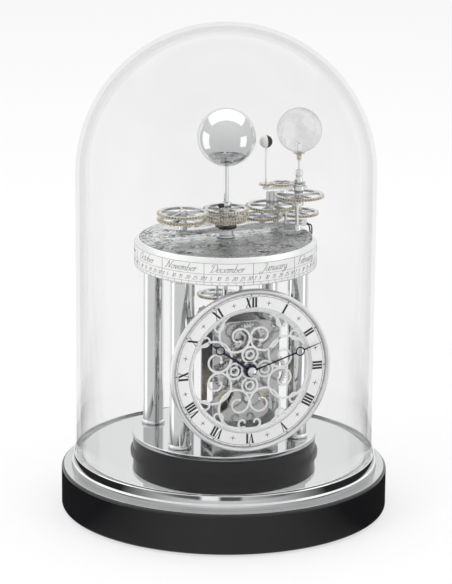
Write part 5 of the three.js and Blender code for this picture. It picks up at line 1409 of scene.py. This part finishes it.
    def balance(self):
        """A rim with a shaped bar, small weights on it and a coiled spring behind."""
        turn, level = math.radians(20), 31.4
        shape = Shape().tube(6.6, 8.0, 32.2, 34.0, BRASS, *BALANCE, 0.3, 64)
        half = [(-7, -0.9), (-2.5, -0.9), (-1.8, -2.0), (1.8, -2.0), (2.5, -0.9), (7, -0.9)]
        bar = swung(turn, half + [(-x, -y) for x, y in half], *BALANCE)
        shape.plate([bar], 32.5, 33.7, BRASS).rod(1.1, *ARBOR, CHROME, *BALANCE)
        for k in range(12):
            spot = polar(7.3, turn + TURN * (k + 0.5) / 12, *BALANCE)
            shape.rod(0.55, 33.8, 34.0, BLACK, *spot, 0.05, 12)
        coil = [(*polar(1.6 + 3.6 * k / 120, turn + TURN * 6 * k / 120, *BALANCE), level)
                for k in range(121)]
        shape.wire(coil, 0.14, BLACK, 6)
        stud = [(*polar(reach, turn, *BALANCE), level) for reach in (1.2, 1.6)]
        shape.wire(stud, 0.2, BLACK, 6)
        make("balance_poised", shape, TRAIN, ["balance_wheel"], DIAL)


YEAR_LEVEL, YEAR_POST = 155.0, (0, 18)
CROWN_TEETH = 24


class TELLURION_OT_drive(ClockOperator, bpy.types.Operator):
    """Cuts the day arbor, the crown wheel, the year wheel and their bridge"""
    bl_idname = "tellurion.drive"
    bl_label = "Drive to the drum"

    def build(self, sizes):
        level = YEAR_LEVEL
        low, high = heights_of("day_arbor")
        collar = heights_of("day_wheel")[1]
        shape = Shape().rod(2.0, low, collar - 0.9, CHROME)
        shape.rod(1.76, collar - 1.0, high, CHROME, sides=32)
        shape.pinion("day_arbor", 12, level - 1, level + 3, UPRIGHT, (0, 0), 1.5)
        dress("day_arbor", "turned", shape, TRAIN)
        self.crown_wheel()

        shape = Shape().gear("year_wheel", 48, level, level + 1.8, UPRIGHT, YEAR_POST, 0.9, 5,
                             3.2)
        shape.rod(1.1, heights_of("year_wheel")[0], 192, CHROME, *YEAR_POST)
        shape.tube(1.0, 3.0, level + 1.7, level + 2.8, CHROME, *YEAR_POST)
        dress("year_wheel", "cut", shape, TRAIN)

        low, high = heights_of("drive_bridge")
        wide, back, side = 3.5, 19.2, 19
        outline = [(-side - wide, back - wide), (-wide, back - wide), (-wide, -4), (wide, -4),
                   (wide, back - wide), (side + wide, back - wide), (side + wide, back + wide),
                   (-side - wide, back + wide)]
        loops = [rounded(outline, 1.8, 4), circle(2.2, 24, -side, back),
                 circle(2.2, 24, side, back), circle(2.3, 24), circle(1.4, 24, *YEAR_POST)]
        shape = Shape().plate(loops, low, high)
        shape.tube(1.4, 2.2, high - 0.05, high + 0.2, 1, *YEAR_POST)
        dress("drive_bridge", "sawn", shape, "steel brass")

    def crown_wheel(self):
        """A wheel whose teeth stand up from its rim."""
        low, high = heights_of("crown_wheel")
        root, rim = high - 3.0, radius_of("crown_wheel") - 0.15
        shape = Shape().turned(box(2.3, low, rim, root), 0.2, 2, 96)
        shape.tube(2.3, 3.8, root - 0.1, high - 0.6, CHROME)
        foot, crown = 0.092, 0.02
        for k in range(CROWN_TEETH):
            middle = TURN * (k + 0.5) / CROWN_TEETH - TURN / 4
            shape.loft([[(*polar(reach, middle + share), height) for share, height in
                         ((-foot, root - 0.05), (foot, root - 0.05), (crown, high - 0.15),
                          (-crown, high - 0.15))] for reach in (14.5, 17.4)], BRASS)
        dress("crown_wheel", "cut", shape, TRAIN)


# Tellurion on the drum: heights above the star plate, along and across the arm

CARRIAGE = "chrome steel black_screw satin_rim"
LOWER_POST, UPPER_POST = (43.5, 9.5), (49, 17)      # where the bridges' posts stand
ARM_LOW, ARM_TOP = 4.5, 8.2
EARTH = (EARTH_REACH, 0)
MONTH = (MONTH_REACH, 0)
PHASE = (12.5, 0)                                   # the wheel halfway along the moon's arm
MOON = (MOON_REACH, 0)


def mirrored(half):
    """An outline from the half of it that lies on one side of the arm."""
    return half + [(x, -y) for x, y in reversed(half)]


class TELLURION_OT_carriage(ClockOperator, bpy.types.Operator):
    """Makes the carriage arm, its two bridges and the date pointer"""
    bl_idname = "tellurion.carriage"
    bl_label = "Carriage"

    def build(self, sizes):
        outline = mirrored([(-38, -3), (0, -3.5), (39.5, -3.5), (41.5, -11.5), (46, -19),
                            (52, -19), (58, -6), (64, -4)])
        shape = Shape().plate([rounded(outline, 2.2, 4), circle(3.7, 40)], ARM_LOW, ARM_TOP)
        # Hub: a turned foot, a slim waist and a black ring under the wheels
        shape.turned([(3.7, 0.3), (6.85, 0.3), (6.85, 1.1), (5.6, 2.4), (5.4, 5.4), (6.4, 7.0),
                      (3.7, 7.0)], 0.25, 3, 64, 3)
        shape.turned(box(3.7, 6.9, 7.85, 8.5), 0.25, 3, 64, 2)
        shape.rod(2.0, 3.0, 22.3, 0, -LEFT_REACH, 0, 0.4, 32)
        shape.rod(1.2, 3.3, 15.6, 0, IDLER_REACH, 0, 0.3, 24)
        shape.screw(1.9, 15.45, IDLER_REACH, 0, 0, 2, 0.5)
        for x, y in (LOWER_POST, UPPER_POST):
            for side in (-y, y):
                shape.screw(1.7, 3.3, x, side, 0, 2, 0.3)
        shape.screw(1.7, 3.3, -LEFT_REACH, 0, 0, 2, 0.3)
        dress("carriage_arm", "filed", shape, CARRIAGE, ARM, 40)

        outline = mirrored([(33.9, -2.5), (38.9, -2.5), (41.5, -11.5), (45.5, -11.5)])
        shape = Shape().plate([rounded(outline, 1.2, 3), circle(1.4, 24, *MONTH)], 16.3, 17.5)
        self.posts(shape, LOWER_POST, 16.3, 1.8, 0.8, 0.9, 1.5)
        dress("lower_bridge", "sawn", shape, CARRIAGE, ARM)

        outline = [(47, -19), (51, -19), (61.5, -2.5), (61.5, 2.5), (51, 19), (47, 19),
                   (53.5, 2.5), (53.5, -2.5)]
        shape = Shape().plate([rounded(outline, 1.2, 3), circle(1.3, 24, *EARTH)], 23.0, 24.2)
        self.posts(shape, UPPER_POST, 23.0, 1.9, 1.0, 1.1, 1.6)
        shape.tube(1.3, 2.2, 23.5, 45.0, 0, *EARTH, 0.15, 32)
        shape.gear("upper_bridge", 12, 34.5, 36.0, ARM, EARTH, 1.8)
        nut = [(1.3, 35.9), (3.2, 35.9), (3.2, 38.4), (2.6, 38.9), (2.6, 40.6), (3.0, 41.0),
               (3.0, 44.2), (2.4, 45.3), (1.3, 45.3)]
        shape.turned(nut, 0.25, 2, 40, 0, *EARTH)
        dress("upper_bridge", "sawn", shape, CARRIAGE, ARM)
        self.pointer()

    def posts(self, shape, post, low, collar, foot, head, screw):
        """A bridge's two posts with a collar at each end and a screw on top."""
        x = post[0]
        for side in (-post[1], post[1]):
            shape.rod(1.2, ARM_TOP, low + 0.1, 0, x, side, 0.2)
            shape.tube(1.1, collar, ARM_TOP, ARM_TOP + foot, 0, x, side)
            shape.tube(1.1, collar, low - head, low, 0, x, side)
            shape.screw(screw, low + 1.15, x, side, 0, 2, side)

    def pointer(self):
        """Two blued wires that bend down over the calendar's edge, in a small clamp."""
        shape = Shape()
        for side in (1, -1):
            path = smooth_path([(62.5, side * 2.6, 3.9), (66.6, side * 2.9, 3.7),
                                (68.4, side * 1.9, -0.5), (68.6, 0.2 * side, -11.3)], 8)
            shape.wire(path, [0.52] * (len(path) - 4) + [0.48, 0.42, 0.34, 0.25], 0, 12)
        shape.plate([rounded(box(60.8, -3.4, 63.2, 3.4), 0.5, 3)], 3.1, 4.45, 1)
        dress("date_pointer", "bent", shape, "blued chrome", ARM)


# The spoked wheels: teeth, height, distance along the arm, bore, hub, then its sleeve's two ends
SPOKED = {
    "day_wheel": (41, 19.7, 0, 2.3, 4.0, 18.7, 21.8),
    "left_upper_wheel": (46, 19.7, -LEFT_REACH, 2.3, 3.2, 17.0, 21.5),
    "left_lower_wheel": (45, 15.2, -LEFT_REACH, 2.3, 3.2, 8.5, 17.0),
    "sleeve_upper_wheel": (40, 15.2, 0, 2.3, 3.5, 13.8, 18.4),
    "sleeve_lower_wheel": (44, 12, 0, 2.3, 3.5, 9.6, 13.8),
    "idler_wheel": (44, 12, IDLER_REACH, 1.5, 2.4, 8.5, 14.2),
    "earth_wheel": (44, 12, EARTH_REACH, 1.3, 2.4, 12.0, 13.8),
    "month_wheel": (49, 19, MONTH_REACH, 0.55, 3.2, 19.0, 20.9),
    "moon_wheel": (49, 25, EARTH_REACH, 2.5, 3.4, 24.5, 34.2),
}
WHEEL_THICK = 1.8


class TELLURION_OT_wheels(ClockOperator, bpy.types.Operator):
    """Cuts the wheels that carry the day, the earth and the moon"""
    bl_idname = "tellurion.wheels"
    bl_label = "Tellurion wheels"

    def build(self, sizes):
        for node, (teeth, low, reach, bore, hub, start, end) in SPOKED.items():
            high = low + WHEEL_THICK
            shape = Shape().gear(node, teeth, low, high, ARM, (reach, 0), bore, 5, hub + 0.7,
                                 spoke=1.5)
            shape.tube(bore, hub, start, end, CHROME, reach, 0, 0.15)
            shape.tube(hub - 0.1, hub + 0.65, high - 0.05, high + 0.35, CHROME, reach, 0, 0.1)
            if node == "day_wheel":
                top = heights_of(node)[1] - STAR_TOP
                shape.turned(box(bore, start, hub, top), 0.5, 3, 48, CHROME)
            elif node == "month_wheel":
                shape.rod(1.1, 15.7, 30.0, CHROME, *MONTH)
                shape.pinion(node, 9, 21.0, 30.4, ARM, MONTH, 0.9)
            dress(node, "cut", shape, TRAIN, ARM)
        self.earth_arbor()
        self.thumb_screw()

    def earth_arbor(self):
        shape = Shape().rod(1.0, 5.8, 63.9, CHROME, *EARTH)
        shape.pinion("earth_arbor", 9, 18.2, 21.6, ARM, EARTH, 0.8)
        shape.tube(0.9, 2.6, 13.8, 15.8, BRASS, *EARTH, 0.3)
        cup = [(0, 52.2), (1.35, 52.2), (1.7, 52.7), (1.4, 53.4), (1.9, 54.4), (1.7, 55.6),
               (2.6, 56.9), (4.4, 57.25), (4.4, 57.7), (0, 57.7)]
        shape.turned(cup, 0.25, 3, 48, BRASS, *EARTH)
        dress("earth_arbor", "turned", shape, "wheel_steel brass chrome", ARM)

    def thumb_screw(self):
        side = (Matrix.Translation((0, 0, STAR_TOP + 24))
                @ Matrix.Rotation(math.radians(208), 4, "Z")
                @ Matrix.Rotation(TURN / 4, 4, "Y"))
        grip = [polar((1.7, 1.52)[k % 2], TURN * k / 24) for k in range(24)]
        shape = Shape().plate([grip], 4.5, 6.5)
        shape.turned([(0, 4.3), (1.2, 4.3), (1.3, 6.7), (0, 6.7)], 0.3, 2, 24)
        dress("thumb_screw", "knurled", shape, "black_screw", side)


MOON_TURN = math.radians(-10)   # how far the white half is off the sun's direction
MOON_HEIGHT = 67                # of the moon's middle, above the star plate
PHASE_LEVEL = (34.5, 36.0)      # the wheels along the moon's arm


class TELLURION_OT_moon(ClockOperator, bpy.types.Operator):
    """Makes the moon's arm, its wheels and the two-coloured moon"""
    bl_idname = "tellurion.moon"
    bl_label = "Moon"

    def build(self, sizes):
        outline = mirrored([(-6, -2.2), (10.5, -2), (27.4, -2.2)])
        loops = [rounded(outline, 1.4, 4), circle(3.7, 32), circle(1.0, 20, *MOON)]
        shape = Shape().plate(loops, 31.6, 33.2, CHROME)
        shape.turned(box(3.7, 30.2, 4.9, 33.2), 0.2, 2, 40, CHROME)
        shape.rod(1.1, 32.6, 37.4, CHROME, *PHASE)
        dress("moon_arm", "filed", shape, TRAIN, MOON_ARM)

        shape = Shape().gear("phase_idler", 24, *PHASE_LEVEL, MOON_ARM, PHASE, 1.4, 4, 2.4, 1.3,
                             1.5)
        dress("phase_idler", "cut", shape, TRAIN, MOON_ARM)

        shape = Shape().gear("moon_stem", 12, *PHASE_LEVEL, MOON_ARM, MOON, 0.6)
        shape.rod(0.7, 31.1, 64.2, CHROME, *MOON, 0.1, 20)
        shape.turned(box(0.6, 33.5, 2.2, 34.55), 0.2, 2, 32, CHROME, *MOON)
        dress("moon_stem", "turned", shape, TRAIN, MOON_ARM)

        # The half that faces the sun is white
        shape = Shape().ball(4.75, MOON_HEIGHT, 64, 32, MOON_REACH, 1.0, 2.4)
        centre = Vector((*MOON, MOON_HEIGHT))
        sun = MOON_ARM.inverted() @ Vector((0, 0, STAR_TOP + MOON_HEIGHT))
        towards = Matrix.Rotation(MOON_TURN, 3, "Z") @ (sun - centre).normalized()
        for index, corners in enumerate(shape.faces):
            middle = sum((Vector(shape.points[i]) for i in corners), Vector()) / len(corners)
            if (middle - centre).dot(towards) < 0:
                shape.finish[index] = 1
        make("moon_painted", shape, "moon_white moon_black", ["moon_ball"],
             MOON_ARM, sharp=80)


class TELLURION_OT_globes(ClockOperator, bpy.types.Operator):
    """Spins the polished sun and the crystal earth"""
    bl_idname = "tellurion.globes"
    bl_label = "Sun and earth"

    def build(self, sizes):
        shape = Shape().ball(21.3, 277.6, 128, 64, 0, 2.06, 6)
        make("sun_spun", shape, "sun_silver", ["sun_globe"], sharp=80)
        shape = Shape().ball(16.5, 74.5, 96, 48, EARTH_REACH, 1.3, 6.4)
        make("earth_blown", shape, "crystal", ["earth_globe"], ARM, sharp=80)
        # The frosted plug round its stem, and the ring engraved at its pole
        shape = Shape().tube(1.35, 2.0, 59.0, 64.6, 0, *EARTH, 0.3)
        shape.turned([(1.6, 90.65), (2.6, 90.5), (2.7, 90.75), (1.7, 90.95)], 0.1, 2, 48, 1,
                     *EARTH)
        make("earth_plug", shape, "frosted steel", body="earth", place=ARM)


class TELLURION_PT_panel(bpy.types.Panel):
    """Lists the makers of the clock's pieces"""
    bl_idname = "TELLURION_PT_panel"
    bl_label = "Tellurion clock"
    bl_space_type = "VIEW_3D"
    bl_region_type = "UI"
    bl_category = "Tellurion"

    def draw(self, context):
        for group in (context.scene.tellurion_sizes, context.scene.tellurion_colours):
            frame_box = self.layout.box()
            for key in group.__annotations__:
                frame_box.prop(group, key)
        for maker in MAKERS:
            self.layout.operator(maker.bl_idname)


GROUPS = (TellurionSizes, TellurionColours)
MAKERS = (TELLURION_OT_stage, TELLURION_OT_base, TELLURION_OT_dome, TELLURION_OT_columns,
          TELLURION_OT_calendar, TELLURION_OT_star_plate, TELLURION_OT_dial,
          TELLURION_OT_hands, TELLURION_OT_movement, TELLURION_OT_drive,
          TELLURION_OT_carriage, TELLURION_OT_wheels, TELLURION_OT_moon, TELLURION_OT_globes)
KINDS = GROUPS + MAKERS + (TELLURION_PT_panel,)


def register():
    for kind in KINDS:
        bpy.utils.register_class(kind)
    bpy.types.Scene.tellurion_sizes = bpy.props.PointerProperty(type=TellurionSizes)
    bpy.types.Scene.tellurion_colours = bpy.props.PointerProperty(type=TellurionColours)


def unregister():
    del bpy.types.Scene.tellurion_sizes
    del bpy.types.Scene.tellurion_colours
    for kind in reversed(KINDS):
        bpy.utils.unregister_class(kind)


def main():
    register()
    mix_finishes(bpy.context.scene.tellurion_colours)
    for maker in MAKERS:
        group, name = maker.bl_idname.split(".")
        getattr(getattr(bpy.ops, group), name)()


if __name__ == "__main__":
    main()
